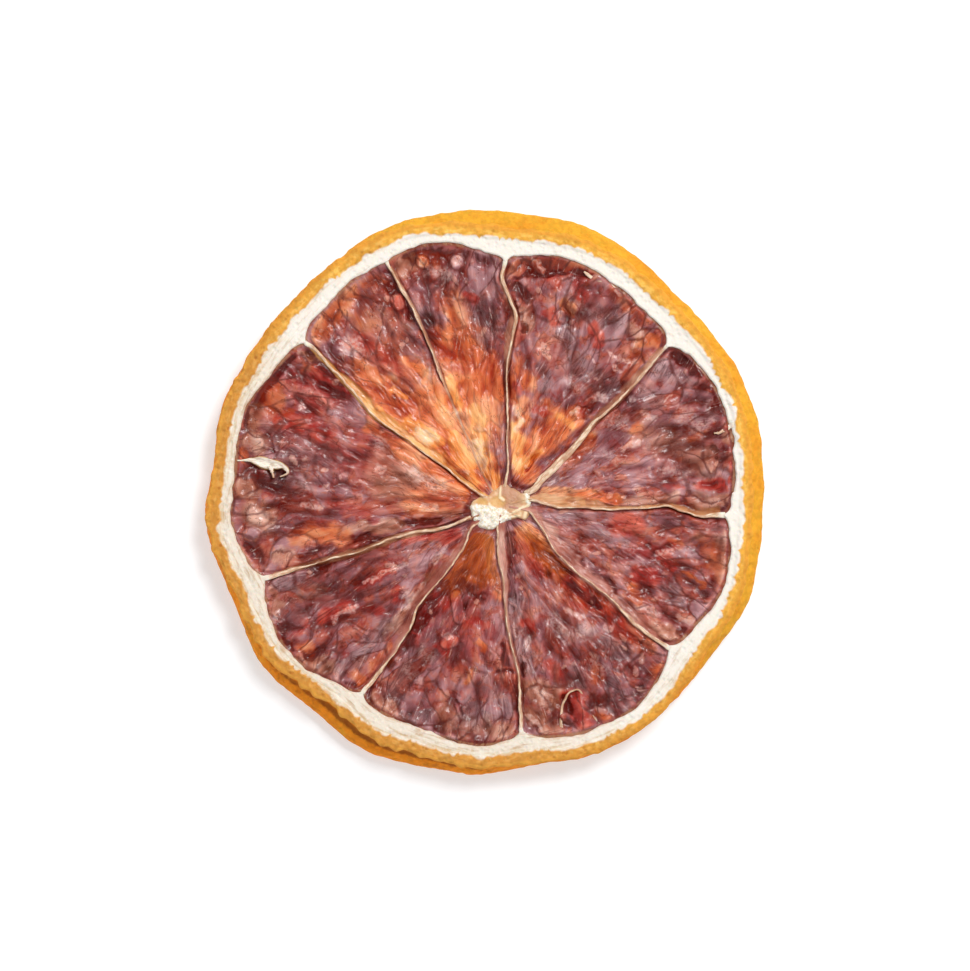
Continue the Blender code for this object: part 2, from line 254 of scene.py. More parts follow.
class Finish:
    """One material, built a node at a time round the Principled shader that it starts with."""

    def __init__(self, name, **constants):
        self.material = bpy.data.materials.new(name)
        self.material.use_nodes = True
        self.tree = self.material.node_tree
        self.shader = self.tree.nodes["Principled BSDF"]
        self.finish_with(**constants)

    def node(self, kind, settings, inputs, output=0):
        """Adds a node, sets it up, feeds its sockets and returns one of its outputs."""
        made = self.tree.nodes.new(kind)
        for setting, value in settings.items():
            if setting == "stops":
                self.set_stops(made.color_ramp, value)
            else:
                setattr(made, setting, value)
        named = inputs.items() if isinstance(inputs, dict) else enumerate(inputs)
        for socket, value in named:
            self.feed(made.inputs[socket], value)
        return Wire(self, made.outputs[output])

    def feed(self, socket, value):
        if isinstance(value, Wire):
            self.tree.links.new(value.socket, socket)
        else:
            socket.default_value = value

    def set_stops(self, ramp, stops):
        while len(ramp.elements) < len(stops):
            ramp.elements.new(1)
        for element, (place, colour) in zip(ramp.elements, stops):
            element.position, element.color = place, (*colour, 1)

    def read(self, name):
        """What mark stored on the piece, as a number."""
        return self.node("ShaderNodeAttribute", {"attribute_name": name}, {}, "Fac")

    def read_vector(self, name):
        return self.node("ShaderNodeAttribute", {"attribute_name": name}, {}, "Vector")

    def place(self):
        """Object coordinates, in mm."""
        coordinates = self.node("ShaderNodeTexCoord", {}, {}, "Object")
        return self.stretch(coordinates, [1 / MM] * 3)

    def stretch(self, vector, scale):
        return self.node("ShaderNodeVectorMath", {"operation": "MULTIPLY"}, [vector, scale])

    def noise(self, vector, scale, detail, roughness=0.55, distortion=0.0):
        values = {"Vector": vector, "Scale": scale, "Detail": detail}
        values.update(Roughness=roughness, Distortion=distortion)
        return self.node("ShaderNodeTexNoise", {}, values, "Fac")

    def mix(self, first, second, share):
        """first where share is 0 and second where it is 1, both colours."""
        def colour(value):
            return value if isinstance(value, Wire) else (*value, 1)

        feeds = {0: share, 6: colour(first), 7: colour(second)}
        return self.node("ShaderNodeMix", {"data_type": "RGBA"}, feeds, 2)

    def shade(self, colour, share):
        """The colour times a number: darker below 1, lighter above."""
        return self.node("ShaderNodeVectorMath", {"operation": "SCALE"}, {0: colour, "Scale": share})

    def bump(self, level, distance, strength, normal=None):
        """Relief of this many mm between 0 and 1, on top of the normal that is given."""
        values = {"Height": level, "Distance": distance * MM, "Strength": strength}
        if normal is not None:
            values["Normal"] = normal
        return self.node("ShaderNodeBump", {}, values)

    def finish_with(self, **values):
        """Feeds the shader's sockets, whose spaces are written as underscores."""
        for socket, value in values.items():
            self.feed(self.shader.inputs[socket.replace("_", " ")], value)


def ring_blank():
    """A torus with 1024 steps round it and 96 round its section."""
    select_only()
    bpy.ops.mesh.primitive_torus_add(
        major_segments=RING_STEPS, minor_segments=SECTION_STEPS,
        major_radius=MEAN_RADIUS * MM, minor_radius=SECTION_RADIUS * MM,
    )
    ring = new_piece("peel")
    bpy.ops.object.mode_set(mode="EDIT")
    bpy.ops.mesh.select_all(action="SELECT")
    bpy.ops.mesh.subdivide(number_cuts=RING_CUTS)
    bpy.ops.object.mode_set(mode="OBJECT")
    return ring


def shape_peel(ring):
    """Moves the torus to the ring's section and stores where each point lies: how far in, how far down."""
    x, y, z = points_of(ring).T / MM
    angle = angle_of(x, y)
    section = np.arctan2(z, np.hypot(x, y) - MEAN_RADIUS) / math.tau % 1
    arc = np.radians(angle % 360) * MEAN_RADIUS
    edge, top = outline(angle), height(angle)
    lip = edge - flank(angle)
    joined = near_joints(angle, 0.35)
    inner = pulp_edge(angle) + 0.1 + ripple(arc, 0, 2.2, 1, 0.36) + ripple(arc, 0, 0.7, 13, 0.16)
    # the outer wall, from the lip down to the foot, with a groove where it shrank most
    upper = WALL_SHARE_ABOVE_BELLY * (1 - section / LIP_AT)
    lower = 1 - (1 - WALL_SHARE_ABOVE_BELLY) * (section - FOOT_OUTER_AT) / (1 - FOOT_OUTER_AT)
    rows, levels = np.arange(len(WALL)), np.array(WALL).T
    down = np.where(section <= LIP_AT, upper, lower) * (len(WALL) - 1)
    level, flank_share, inset = (np.interp(down, rows, column) for column in levels)
    groove = swelling(angle, 0, ((236, 0.3, 18), (262, 0.1, 8))) * hump(level - 0.8, 0.07)
    dents = 0.16 * grain(arc, level * top, 1.1, 2) + 0.1 * grain(arc, level * top, 0.5, 3)
    lumps = ripple(arc, level * top * 0.5, 3.5, 4, 0.3) * eased((1 - level) * 5)
    wall_radius = edge - flank(angle) * flank_share - inset - groove - dents + WALL_OUT + lumps
    bumps = 0.3 + swelling(angle, 0, ((225, 0.3, 35),))
    wall_radius += ripple(arc, level, 0.9, 12, bumps) * eased((level - 0.7) / 0.15)
    # the cut face, and the flat back below it
    across = np.clip((section - LIP_AT) / (PULP_EDGE_AT - LIP_AT), 0, 1)
    back = np.clip((FOOT_OUTER_AT - section) / (FOOT_OUTER_AT - FOOT_INNER_AT), 0, 1)
    face_width = inner - lip + WALL[0][2] + LIP_OVERLAP
    face_radius = lip - WALL[0][2] - LIP_OVERLAP + face_width * across
    foot = edge - flank(angle) * WALL[-1][1] - WALL[-1][2]
    back_radius = foot + (inner - foot) * back
    inward = lip - face_radius
    pith = eased((inward - RIND_THICKNESS + 0.2) / 0.5)
    edge_drop = 0.12 * (1 - joined)
    face_level = top - PITH_SINK * pith - edge_drop * eased(1 - (face_radius - inner) / 0.2)
    fibres = grain(arc, inward * 3, 1.6, 5) + 0.6 * grain(arc, inward, 0.45, 6)
    face_level += 0.07 * (fibres - 0.8) * pith + ripple(arc, inward, 0.6, 7, 0.12) * (1 - pith)
    face_level -= 0.06 * eased((grain(arc, inward, 0.5, 8) - 0.62) / 0.15) * (1 - pith)
    back_level = BACK_RISE * eased(1 - (back_radius - inner) / 0.4)
    drop = np.clip((section - PULP_EDGE_AT) / (FOOT_INNER_AT - PULP_EDGE_AT), 0, 1)
    edge_level = top - PITH_SINK - edge_drop
    edge_level = edge_level + (BACK_RISE - edge_level) * drop
    on_wall, on_face = section <= LIP_AT, section <= PULP_EDGE_AT
    parts = [on_wall, on_face, section <= FOOT_INNER_AT, section <= FOOT_OUTER_AT]
    radius = np.select(parts, [wall_radius, face_radius, inner, back_radius], wall_radius)
    z = np.select(parts, [level * top, face_level, edge_level, back_level], level * top)
    place(ring, radius * np.cos(np.radians(angle)), radius * np.sin(np.radians(angle)), z)
    # what the finish reads: the border between rind and pith is toothed, and the ring is painted darker on
    # one side as painted shade
    depth = np.select(parts, [0 * arc, inward, inner * 0 + PEEL, foot - back_radius + 0.3], 0 * arc)
    lobes = np.sqrt(np.abs(2 * grain(arc, inward * 0.2, 0.8, 9) - 1)) * 0.5 - 0.28
    lobes = lobes * (0.35 + grain(arc, 0, 3.6, 14)) + ripple(arc, 0, 2.0, 11, 0.45)
    teeth = lobes + ripple(arc, inward, 0.4, 10, 0.12)
    thinner = swelling(angle, 0, ((350, 0.3, 30), (225, 0.16, 15)))
    under_lip_shade = hump(level - 0.71, 0.05) * swelling(angle, 0, UNDER_LIP_SHADE)
    down_wall = (1 - level) * top + 0.02
    mark(ring, "inward", depth)
    # painted shade: 1 on the lower-left side, away from the lamp, where the ring is painted darker, with
    # more pores and scars
    mark(ring, "aged", 0.5 + 0.5 * np.cos(np.radians(angle - 222)))
    mark(ring, "toothed", depth + (teeth + thinner) * (depth > 0))
    mark(ring, "wall", np.where(on_wall | (section > FOOT_OUTER_AT), down_wall, 0))
    mark(ring, "crease", under_lip_shade * on_wall)
    mark(ring, "to_pulp", np.where(on_face & ~on_wall, face_radius - inner + joined, 1))
    mark(ring, "ring_place", np.column_stack((arc, depth, z)))


def peel_finish():
    finish = Finish(
        "rind_and_pith", Specular_IOR_Level=0.1, Subsurface_Weight=0.12, Subsurface_Scale=0.0006
    )
    place_mm, ring_place = finish.place(), finish.read_vector("ring_place")
    stored = ("inward", "toothed", "wall", "to_pulp", "aged")
    inward, toothed, wall, to_pulp, aged = map(finish.read, stored)
    fine = finish.noise(place_mm, 3.2, 3)
    broad = finish.noise(place_mm, 0.16, 2)
    pith_share = (toothed + fine * 0.12).between(RIND_THICKNESS - 0.08, RIND_THICKNESS + 0.2)
    # the rind: amber patches, darker to the lower left (painted shade), lumpier and paler by the pith, with
    # cut brown oil glands
    aged = (aged + (broad - 0.5) * 0.8).between(0.2, 0.85)
    gold = finish.mix((0.74, 0.36, 0.05), (0.58, 0.25, 0.045), aged)
    lumps = finish.noise(finish.stretch(ring_place, (0.8, 1.3, 0.8)), 1.5, 2).between(0.45, 0.65)
    lump_colour = finish.mix((0.86, 0.5, 0.11), (0.66, 0.33, 0.08), aged)
    gold = finish.mix(gold, lump_colour, lumps * inward.between(0.2, 0.7) * 0.9)
    cells = {"Vector": place_mm, "Scale": 1.5, "Randomness": 1}
    glands = finish.node("ShaderNodeTexVoronoi", {}, cells, "Distance")
    patchy = finish.noise(place_mm, 0.45, 2).between(0.46, 0.62)
    pores = (1 - glands.between(0.12, 0.4)) * patchy * inward.between(0.15, 0.45)
    gold = finish.mix(gold, (0.42, 0.14, 0.02), pores * (aged * 0.5 + 0.3))
    rim = 1 - (inward + fine * 0.2).between(0.1, 0.62)
    rim_colour = finish.mix((0.56, 0.17, 0.014), (0.74, 0.36, 0.06), aged)
    gold = finish.mix(gold, rim_colour, rim * (aged * 0.4 + 0.3))
    # the outer wall is deeper orange, and in patches redder and darker to the lower left: painted shade
    patches = (finish.noise(place_mm, 0.3, 3) + aged * 0.2).between(0.44, 0.7)
    deep = finish.mix((0.68, 0.265, 0.015), (0.84, 0.24, 0.005), aged)
    orange = finish.mix((0.7, 0.335, 0.022), deep, patches)
    redder = fine.between(0.55, 0.7) * broad.between(0.5, 0.7) * 0.45
    orange = finish.mix(orange, (0.66, 0.15, 0.02), redder)
    rind = finish.mix(gold, orange, wall.between(0.05, 0.5) * 0.85)
    scars = finish.noise(place_mm, 0.8, 3, 0.6).between(0.52, 0.66) * (1 - inward.between(0.1, 0.6)) * aged
    rind = finish.mix(rind, (0.34, 0.1, 0.012), scars * 0.4)
    # painted shade: a dark line in the groove under the lip
    crease = (finish.read("crease") + (fine - 0.5) * 0.5).between(0.35, 0.9)
    rind = finish.mix(rind, (0.2, 0.05, 0.008), crease * 0.75)
    rind = finish.shade(rind, finish.noise(place_mm, 1.4, 3).between(0.3, 0.7) * 0.22 + 0.87)
    # the pith: cream with darker fibres, darker to the lower left (painted shade), and a brown line at the
    # pulp, stain and painted shade
    strands = finish.noise(finish.stretch(ring_place, (0.35, 2.2, 1)), 1.2, 3, 0.6)
    pith = finish.mix((0.81, 0.755, 0.68), (0.765, 0.68, 0.57), aged.between(0.4, 1.0))
    pith = finish.mix(pith, (0.52, 0.35, 0.21), strands.between(0.48, 0.72) * (aged * 0.85 + 0.06))
    by_rind = 1 - (toothed - RIND_THICKNESS).between(0.2, 0.75)
    pith = finish.mix(pith, (0.62, 0.44, 0.24), by_rind * strands.between(0.35, 0.6) * aged * 0.6)
    pith = finish.mix(pith, (0.87, 0.83, 0.76), fine.between(0.5, 0.7) * 0.35)
    stain = (1 - (to_pulp + (fine + broad) * 0.3).between(0.1, aged * 0.3 + 0.34)) * 0.65
    pith = finish.mix(pith, (0.56, 0.34, 0.2), stain)
    relief = finish.bump(glands.between(0.0, 0.5), 0.16, 0.5)
    relief = finish.bump(finish.noise(place_mm, 1.1, 2), 0.3, 0.3, relief)
    relief = finish.bump(fine, 0.05, 0.3, relief)
    finish.finish_with(
        Base_Color=finish.mix(rind, pith, pith_share),
        Roughness=pith_share * 0.15 + 0.75,
        Normal=relief,
    )
    return finish


peel = ring_blank()
shape_peel(peel)
hand_in(peel, peel_finish())

# MEMBRANES. Nine papery walls run from the core to the pith and part the segments. Each has a thin cream
# crest and a tan skin drawn down over the pulp, and flares at the pith. It is a cylinder, drawn out along
# its route, whose section is then shaped. Five loose slivers and folds are made the same way.
CORE = (1.65, -1.53)  # the core's middle in the plan
SPAN = np.arange(0, 34, 0.25)  # distances from the core at which a membrane's angle is kept
MEMBRANE_BEND = 1.2  # the length over which a corner of the route is rounded
MEMBRANE_SINK = 0.38  # how far the crests lie below the lip, and the pulp's borders too
PULP_SINK = 1.0
# The route is (distance from the core, angle), swells are (distance, more half width, spread) and the
# skins' widths are (distance, width), ahead of the membrane and behind it as one goes round anticlockwise.
# Tint is 0 for a pinkish skin, 0.5 for tan and 1 for orange.
MEMBRANES = {
    "right": dict(
        route=(
            (3.4, 13), (4.6, 2), (6, -1), (13.2, -1.7), (17.9, 0.1), (21.6, -3.5), (22.8, -2.3), (25.5, -2),
        ),
        crest=0.08, swells=((23.6, 0.12, 1.3), (5, 0.05, 2)), tint=0.7,
        ahead=((3, 0.3), (5, 1.4), (7.5, 1.6), (10, 1.1), (12, 0.35), (18, 0.3), (20, 0.8), (23, 1)),
        behind=((0, 0.06),),
    ),
    "upper_right": dict(
        route=((3.6, 26), (5.1, 33), (7.4, 36), (10.4, 39.5), (13.6, 42), (16.8, 41.6), (24.3, 44)),
        crest=0.1, swells=((5.5, 0.2, 2), (8.4, 0.28, 1.7), (11.8, 0.1, 1.1), (21, 0.05, 2)), tint=0.35,
        ahead=((9, 0.1), (13, 0.5), (19, 0.8), (24, 0.4)),
        behind=((0, 0.1), (9, 0.2), (14, 0.35), (20, 0.15)),
    ),
    "top": dict(
        route=(
            (2.5, 77), (7, 84.5), (14, 87.7), (18.4, 86.2), (20.5, 85), (22.9, 88.2), (24.2, 90),
            (26.3, 89),
        ),
        crest=0.09, swells=((20.6, 0.08, 1.8), (24.5, 0.06, 1), (6, -0.03, 4)), tint=0.3,
        ahead=((5, 0.1), (14, 0.2), (18.5, 0.8), (21.5, 0.6), (25, 0.15)), behind=((0, 0.06), (24, 0.2)),
    ),
    "top_left": dict(
        route=((3.3, 122), (7.3, 117), (12.6, 115.7), (17.8, 114.2), (22.5, 114), (28.4, 115)),
        crest=0.07, swells=((25.3, 0.1, 0.8), (23, 0.04, 1)), tint=0.4,
        ahead=((0, 0.05),), behind=((0, 0.15), (24, 0.3)),
    ),
    "upper_left": dict(
        route=((2.1, 150), (7.2, 144.8), (16.8, 144.7), (19.6, 142.4), (22.9, 141), (26.3, 140)),
        crest=0.07, swells=((18, 0.06, 3), (24, 0.06, 1.5)), tint=1,
        ahead=((8, 0.08), (17, 0.3), (24, 0.3)), behind=((3, 0.3), (8, 0.7), (14, 1), (20, 0.9), (25, 0.3)),
    ),
    "left": dict(
        route=((4.3, 201), (6.5, 201), (9.6, 197), (12.5, 196.6), (15.7, 198), (19, 197.2), (26, 197)),
        crest=0.08, swells=((8, 0.05, 2), (24, 0.1, 1.5)), tint=0.55,
        ahead=((5, 0.2), (12, 0.45), (18, 0.4), (24, 0.2)),
        behind=((5, 0.1), (10, 0.3), (18, 0.5), (23, 0.3)),
    ),
    "lower_left": dict(
        route=(
            (3.7, 215), (5.7, 227.7), (8.6, 230.7), (14, 230.3), (16.4, 233.5), (19.7, 234), (24.5, 233.5),
        ),
        crest=0.07, swells=((22.5, 0.1, 1.5), (15, 0.05, 2)), tint=0.12,
        ahead=((0, 0.05),), behind=((3, 0.3), (7, 0.9), (13, 1.3), (17, 1), (20, 0.4), (23, 0.4)),
    ),
    "bottom": dict(
        route=((2.6, 263), (4.4, 264.7), (7.5, 271.6), (12.6, 272.8), (17.9, 276), (23.4, 275.3)),
        crest=0.06, swells=((21.5, 0.1, 2),), tint=0.15,
        ahead=((2.6, 0.8), (4, 1.1), (6.5, 1.1), (8.5, 0.8), (10, 0.3), (22, 0.25)),
        behind=((4, 0.1), (12, 0.2), (22, 0.2)),
    ),
    "lower_right": dict(
        route=(
            (3.3, 350), (4, 337), (6, 325.5), (7.9, 319), (10.7, 318.6), (14.2, 320), (20, 318.6),
            (24, 320),
        ),
        crest=0.07, swells=((20.5, 0.14, 2.5),), tint=0.12,
        ahead=((3, 0.6), (6, 1.8), (10, 2), (13.5, 1.1), (17, 1.4), (21, 1), (24, 0.3)),
        behind=((0, 0.06), (20, 0.3)),
    ),
}
SUNK_MEMBRANE = "top_left"  # this one dries down into the pulp nearer the core than SUNK_INSIDE
SUNK_INSIDE = 15.5
SINK_RUN = 3.5  # along this much of it
SUNK_LAP = 0.3  # how far the pulp on each side runs over it
SKIRT = 0.06  # how far the membrane's own sides lean out
# Loose slivers: their paths in the plan, with the half width at each point
FOLDS = {
    "pocket": (
        (8.25, -26.2, 0.26), (8.1, -24.6, 0.16), (8.2, -23, 0.11), (8.7, -21.8, 0.07), (9.4, -21.2, 0.08),
        (10.1, -21.3, 0.09), (10.7, -22.5, 0.06), (11.4, -24, 0.05), (12.7, -25.5, 0.09),
    ),
    "prong": ((27, 7.4, 0.3), (26.2, 7.1, 0.24), (25.6, 6.7, 0.17), (25.1, 6.3, 0.13), (24.6, 6.2, 0.06)),
    "flap": (
        (10.6, 23.7, 0.1), (11.6, 22.95, 0.17), (12.6, 22.65, 0.1), (13.7, 22.1, 0.13), (14.7, 21, 0.08),
    ),
    "husk": (
        (-26.7, 3.4, 0.07), (-25.6, 3.35, 0.09), (-24.9, 3.4, 0.3), (-24, 3.25, 0.48), (-23.2, 3, 0.48),
        (-22.5, 2.95, 0.42), (-21.9, 2.8, 0.32), (-21.4, 2.5, 0.2), (-21.2, 2.1, 0.12), (-21.5, 1.7, 0.08),
        (-22.1, 1.6, 0.06),
    ),
    "husk_prong": ((-23.1, 2.8, 0.2), (-22.95, 2.1, 0.14), (-22.8, 1.5, 0.06)),
}
FOLD_DIPS = {"pocket": 0.42, "prong": -0.15, "flap": 0.3, "husk": 0, "husk_prong": 0}  # into the pulp
FOLD_BOTTOM = 1.5  # they end inside the pulp
HUSK_WHITE_FROM = 1.5  # how far up the plan the husk starts to turn white
FOLD_STEPS, FOLD_CUTS, FOLD_SMOOTHINGS = 60, 50, 12
# The section from a foot up to the crest, the same on both sides: (shares of the crest's and the face's
# width out from the middle, share of the height between foot and crest)
TOP_STATIONS = (
    (1, 1.12, -0.5), (1, 1, 0), (1, 0.68, 0.42), (1, 0.34, 0.74), (1, 0.06, 0.93), (0.72, 0, 0.99),
    (0.25, 0, 1),
)
FACE_STATIONS = 5  # of these, the ones on the faces
BACK_STATIONS = ((0.15, 0.9), (0.15, 0.5), (0.13, 0.28), (0.08, 0.2), (0.02, 0.18))  # (out, up) below them
STRIP_SIDES = 2 * (len(TOP_STATIONS) + len(BACK_STATIONS))
MEMBRANE_CUTS = 150


def rounded_route(points):
    """A membrane's angle about the core at each distance in SPAN, with its corners averaged away."""
    distances, angles = np.array(points, float).T
    reach = round(MEMBRANE_BEND / (SPAN[1] - SPAN[0]))
    kernel = np.hanning(2 * reach + 1)
    sharp = np.pad(np.interp(SPAN, distances, angles), reach, mode="edge")
    return np.convolve(sharp, kernel / kernel.sum(), mode="valid")


def from_core(distance, degrees):
    turn = np.radians(degrees)
    return CORE[0] + distance * np.cos(turn), CORE[1] + distance * np.sin(turn)


def inside_pith(x, y):
    """How far inside the pith ring a point is, negative where it is in the pith."""
    return pulp_edge(angle_of(x, y)) - np.hypot(x, y)


def strip_blank(name, cuts):
    """A cylinder, cut across into many short rings."""
    select_only()
    bpy.ops.mesh.primitive_cylinder_add(vertices=STRIP_SIDES, radius=MM, depth=MM, end_fill_type="NGON")
    strip = new_piece(name)
    bpy.ops.object.mode_set(mode="EDIT")
    bpy.ops.mesh.select_mode(type="EDGE")
    bpy.ops.mesh.select_all(action="DESELECT")
    bpy.ops.object.mode_set(mode="OBJECT")
    points = points_of(strip)
    for edge in strip.data.edges:
        ends = points[list(edge.vertices)]
        edge.select = bool(abs(ends[0][2] - ends[1][2]) > MM / 2)
    bpy.ops.object.mode_set(mode="EDIT")
    bpy.ops.mesh.subdivide(number_cuts=cuts)
    bpy.ops.object.mode_set(mode="OBJECT")
    return strip


def shape_membrane(strip, path, half, ahead, behind, crest_level, foot_level, seed, dish=0.0, bottom=0.0):
    """Draws the cylinder out along a path and shapes its section, from measures given along the path."""
    x, y, z = points_of(strip).T / MM
    along = (z + 0.5) * (len(path) - 1)
    side_turn = 360 / STRIP_SIDES
    station = np.round(angle_of(x, y) % 360 / side_turn).astype(int) % STRIP_SIDES
    count = np.arange(len(path))
    length = np.concatenate(([0], np.cumsum(np.hypot(*np.diff(path, axis=0).T))))
    tangent = np.gradient(path, axis=0)
    tangent /= np.hypot(*tangent.T)[:, None]

    def here(values):
        return np.interp(along, count, values)

    half, ahead, behind, crest_level, foot_level = map(here, (half, ahead, behind, crest_level, foot_level))
    run = here(length)
    offset, level, down = np.zeros((3, len(x)))
    top_count, back_count = 2 * len(TOP_STATIONS), 2 * len(BACK_STATIONS)
    for number in range(top_count):
        row = min(number, top_count - 1 - number)
        crest_share, face_share, rise = TOP_STATIONS[row]
        face, side = (behind, -1) if row == number else (ahead, 1)
        wide = half * crest_share + np.maximum(face, 0.05) * face_share
        here_now = station == number
        offset = np.where(here_now, side * wide, offset)
        level = np.where(here_now, foot_level + (crest_level - foot_level) * rise, level)
        down = np.where(here_now, np.clip(1.1 - rise, 0, 1) * (row < FACE_STATIONS), down)
    for number in range(back_count):
        row = min(number, back_count - 1 - number)
        offset_back, level_back = BACK_STATIONS[row]
        here_now = station == top_count + number
        offset = np.where(here_now, offset_back if row == number else -offset_back, offset)
        level = np.where(here_now, bottom + level_back + 0.08 * grain(run, 0, 1.5, seed), level)
    on_top = station < top_count
    on_face = (down > 0) & on_top
    wobble = ripple(run, 0, 1.3, seed + 1, 0.14) + ripple(run, 0, 0.45, seed + 2, 0.08)
    offset = offset + wobble * on_top
    level = level + ripple(run, offset * 0.5, 0.4, seed + 3, on_face * 0.16)
    wrinkle = on_face * np.clip(np.abs(offset), 0, 1.2) * 0.45
    level = level + ripple(run * 0.7, offset, 1.1, seed + 7, wrinkle)
    level = level + ripple(run, 0, 0.9, seed + 4, on_top * 0.12)
    hollow = on_top * dish * eased((half - 0.15) / 0.2)
    level = level - hollow * np.clip(1 - (offset / half) ** 2, 0, 1)
    place(
        strip,
        here(path[:, 0]) - offset * here(tangent[:, 1]),
        here(path[:, 1]) + offset * here(tangent[:, 0]),
        level,
    )
    mark(strip, "down", down)
    mark(strip, "strip_place", np.column_stack((run, offset, level)))
    mark(strip, "to_pith", np.clip(inside_pith(here(path[:, 0]), here(path[:, 1])), -1, 9))


def width_at(distance, widths):
    return np.interp(distance, *zip(*widths))


def membrane_path(name):
    """The middle of a membrane from inside the core to inside the pith, and its distance from the core."""
    points = MEMBRANES[name]["route"]
    distance = np.arange(points[0][0] * 0.8, 32, 0.1)
    x, y = from_core(distance, np.interp(distance, SPAN, rounded_route(points)))
    kept = inside_pith(x, y) > -0.5
    return np.column_stack((x, y))[kept], distance[kept]


def mark_all(piece, name, value):
    mark(piece, name, np.full(len(piece.data.vertices), value))


def membrane(name, seed):
    look = MEMBRANES[name]
    path, distance = membrane_path(name)
    angle = angle_of(*path.T)
    to_pith = inside_pith(*path.T)
    from_start = distance - distance[0]
    half = look["crest"] * (0.3 + 0.95 * grain(distance, 0, 1.7, seed + 5))
    for where, more, spread in look["swells"]:
        half = half + more * hump(distance - where, spread)
    half = half + 0.14 * np.exp(-np.clip(to_pith, 0, 9) / 0.9) + 0.1 * np.exp(-from_start / 1.5)
    crest_level = height(angle) - MEMBRANE_SINK - 0.25 * eased(1 - from_start / 1.2)
    crest_level = crest_level + (MEMBRANE_SINK - PITH_SINK - 0.06) * eased(1 - to_pith / 1.2)
    foot_level = height(angle) - PULP_SINK - 0.15
    if name == SUNK_MEMBRANE:
        sunk = eased((SUNK_INSIDE - distance) / SINK_RUN)
        crest_level = crest_level - 1.7 * sunk
        foot_level = foot_level - 1.3 * sunk
    strip = strip_blank("membrane_" + name, MEMBRANE_CUTS)
    skirt = SKIRT * (0.6 + 0.8 * grain(distance, 0, 1.1, seed + 6))
    shape_membrane(strip, path, half, skirt, skirt, crest_level, foot_level, seed)
    mark_all(strip, "tint", look["tint"])
    mark_all(strip, "white", 0)
    return strip


def fold(name, seed):
    """A loose sliver, standing a little above the pulp. The two of the husk are dished, and part white."""
    points = np.array(FOLDS[name], float)
    steps = np.linspace(0, len(points) - 1, FOLD_STEPS)
    path = np.column_stack([np.interp(steps, np.arange(len(points)), column) for column in points.T])
    for _ in range(FOLD_SMOOTHINGS):
        path[1:-1] = (path[:-2] + 2 * path[1:-1] + path[2:]) / 4
    path, half = path[:, :2], path[:, 2]
    angle = angle_of(*path.T)
    half = half * (0.7 + 0.6 * grain(np.arange(FOLD_STEPS) * 0.15, 0, 0.8, seed))
    dip = FOLD_DIPS[name] * grain(np.arange(FOLD_STEPS) * 0.12, 0, 0.9, seed + 1)
    top = height(angle) - MEMBRANE_SINK + 0.1 - dip
    strip = strip_blank("fold_" + name, FOLD_CUTS)
    of_husk = name.startswith("husk")
    lean = half * 0.5
    shape_membrane(strip, path, half, lean, lean, top, top - 0.8, seed, 0.3 * of_husk, FOLD_BOTTOM)
    mark_all(strip, "tint", 0.3)
    plan_y = points_of(strip)[:, 1] / MM + MIDDLE[1]
    mark(strip, "white", of_husk * eased((plan_y - HUSK_WHITE_FROM) / 1.3))
    return strip


def membrane_finish():
    finish = Finish("membrane", Subsurface_Weight=0.15, Subsurface_Scale=0.0004, Roughness=0.5)
    down, to_pith = finish.read("down"), finish.read("to_pith")
    strip_place = finish.read_vector("strip_place")
    streaks = finish.noise(finish.stretch(strip_place, (0.7, 3.5, 1)), 1.6, 3)
    ripples = finish.noise(finish.stretch(strip_place, (3.0, 0.6, 1)), 1.5, 2)
    fine = finish.noise(finish.place(), 5, 2)
    # the crest: cream streaks, brown in places, paler at the pith and white on the husk
    crest = finish.mix((0.54, 0.31, 0.18), (0.81, 0.63, 0.46), streaks.between(0.38, 0.62))
    brown = finish.noise(strip_place, 0.5, 2).between(0.48, 0.64)
    crest = finish.mix(crest, (0.42, 0.19, 0.1), brown * 0.65)
    crest = finish.mix(crest, (0.8, 0.72, 0.6), 1 - (to_pith + fine * 0.6).between(0.15, 1.1))
    white = finish.mix((0.82, 0.75, 0.64), (0.56, 0.44, 0.35), streaks.between(0.4, 0.65))
    crest = finish.mix(crest, white, finish.read("white"))
    # its sides, with painted shade darkening them towards their feet at the pulp and in their ripples
    skirt = finish.mix((0.42, 0.19, 0.1), (0.8, 0.42, 0.16), finish.read("tint").between(0.5, 1.0))
    skirt = finish.mix(skirt, (0.6, 0.37, 0.15), finish.read("white") * 0.9)
    skirt = finish.mix(skirt, (0.2, 0.05, 0.03), (down + (ripples - 0.5) * 1.2).between(0.7, 1.1) * 0.8)
    on_skirt = (down + fine * 0.1).between(0.13, 0.42) * (to_pith + fine * 0.4).between(0.3, 1.2)
    colour = finish.mix(crest, skirt, on_skirt)
    relief = finish.bump(fine, 0.05, 0.4, finish.bump(ripples, 0.12, 0.35))
    finish.finish_with(Base_Color=colour, Roughness=down * -0.25 + 0.5, Normal=relief)
    return finish


paper = membrane_finish()
for number, wall_name in enumerate(MEMBRANES):
    hand_in(membrane(wall_name, 20 + 10 * number), paper)
for number, fold_name in enumerate(FOLDS):
    hand_in(fold(fold_name, 130 + 10 * number), paper)

# CORE. The dried middle of the slice: a loose mass of white pith crystals at one end, a tan film drawn
# over a hollow beside it, and a small white knot. It is a ball, flattened to the outline of the core.
CORE_OUTLINE = (  # (angle about the core, how far it reaches)
    (10, 3.4), (26, 3.6), (32, 2.7), (61, 2.3), (78, 2.6), (96, 2.0), (143, 1.7), (152, 2.5),
    (163, 3.0), (181, 3.6), (192, 3.5), (204, 3.5), (218, 3.5), (230, 3.2), (244, 3.0), (254, 2.6),
    (266, 2.1), (279, 1.7), (299, 1.6), (326, 2.3), (329, 3.2), (347, 3.4),
)
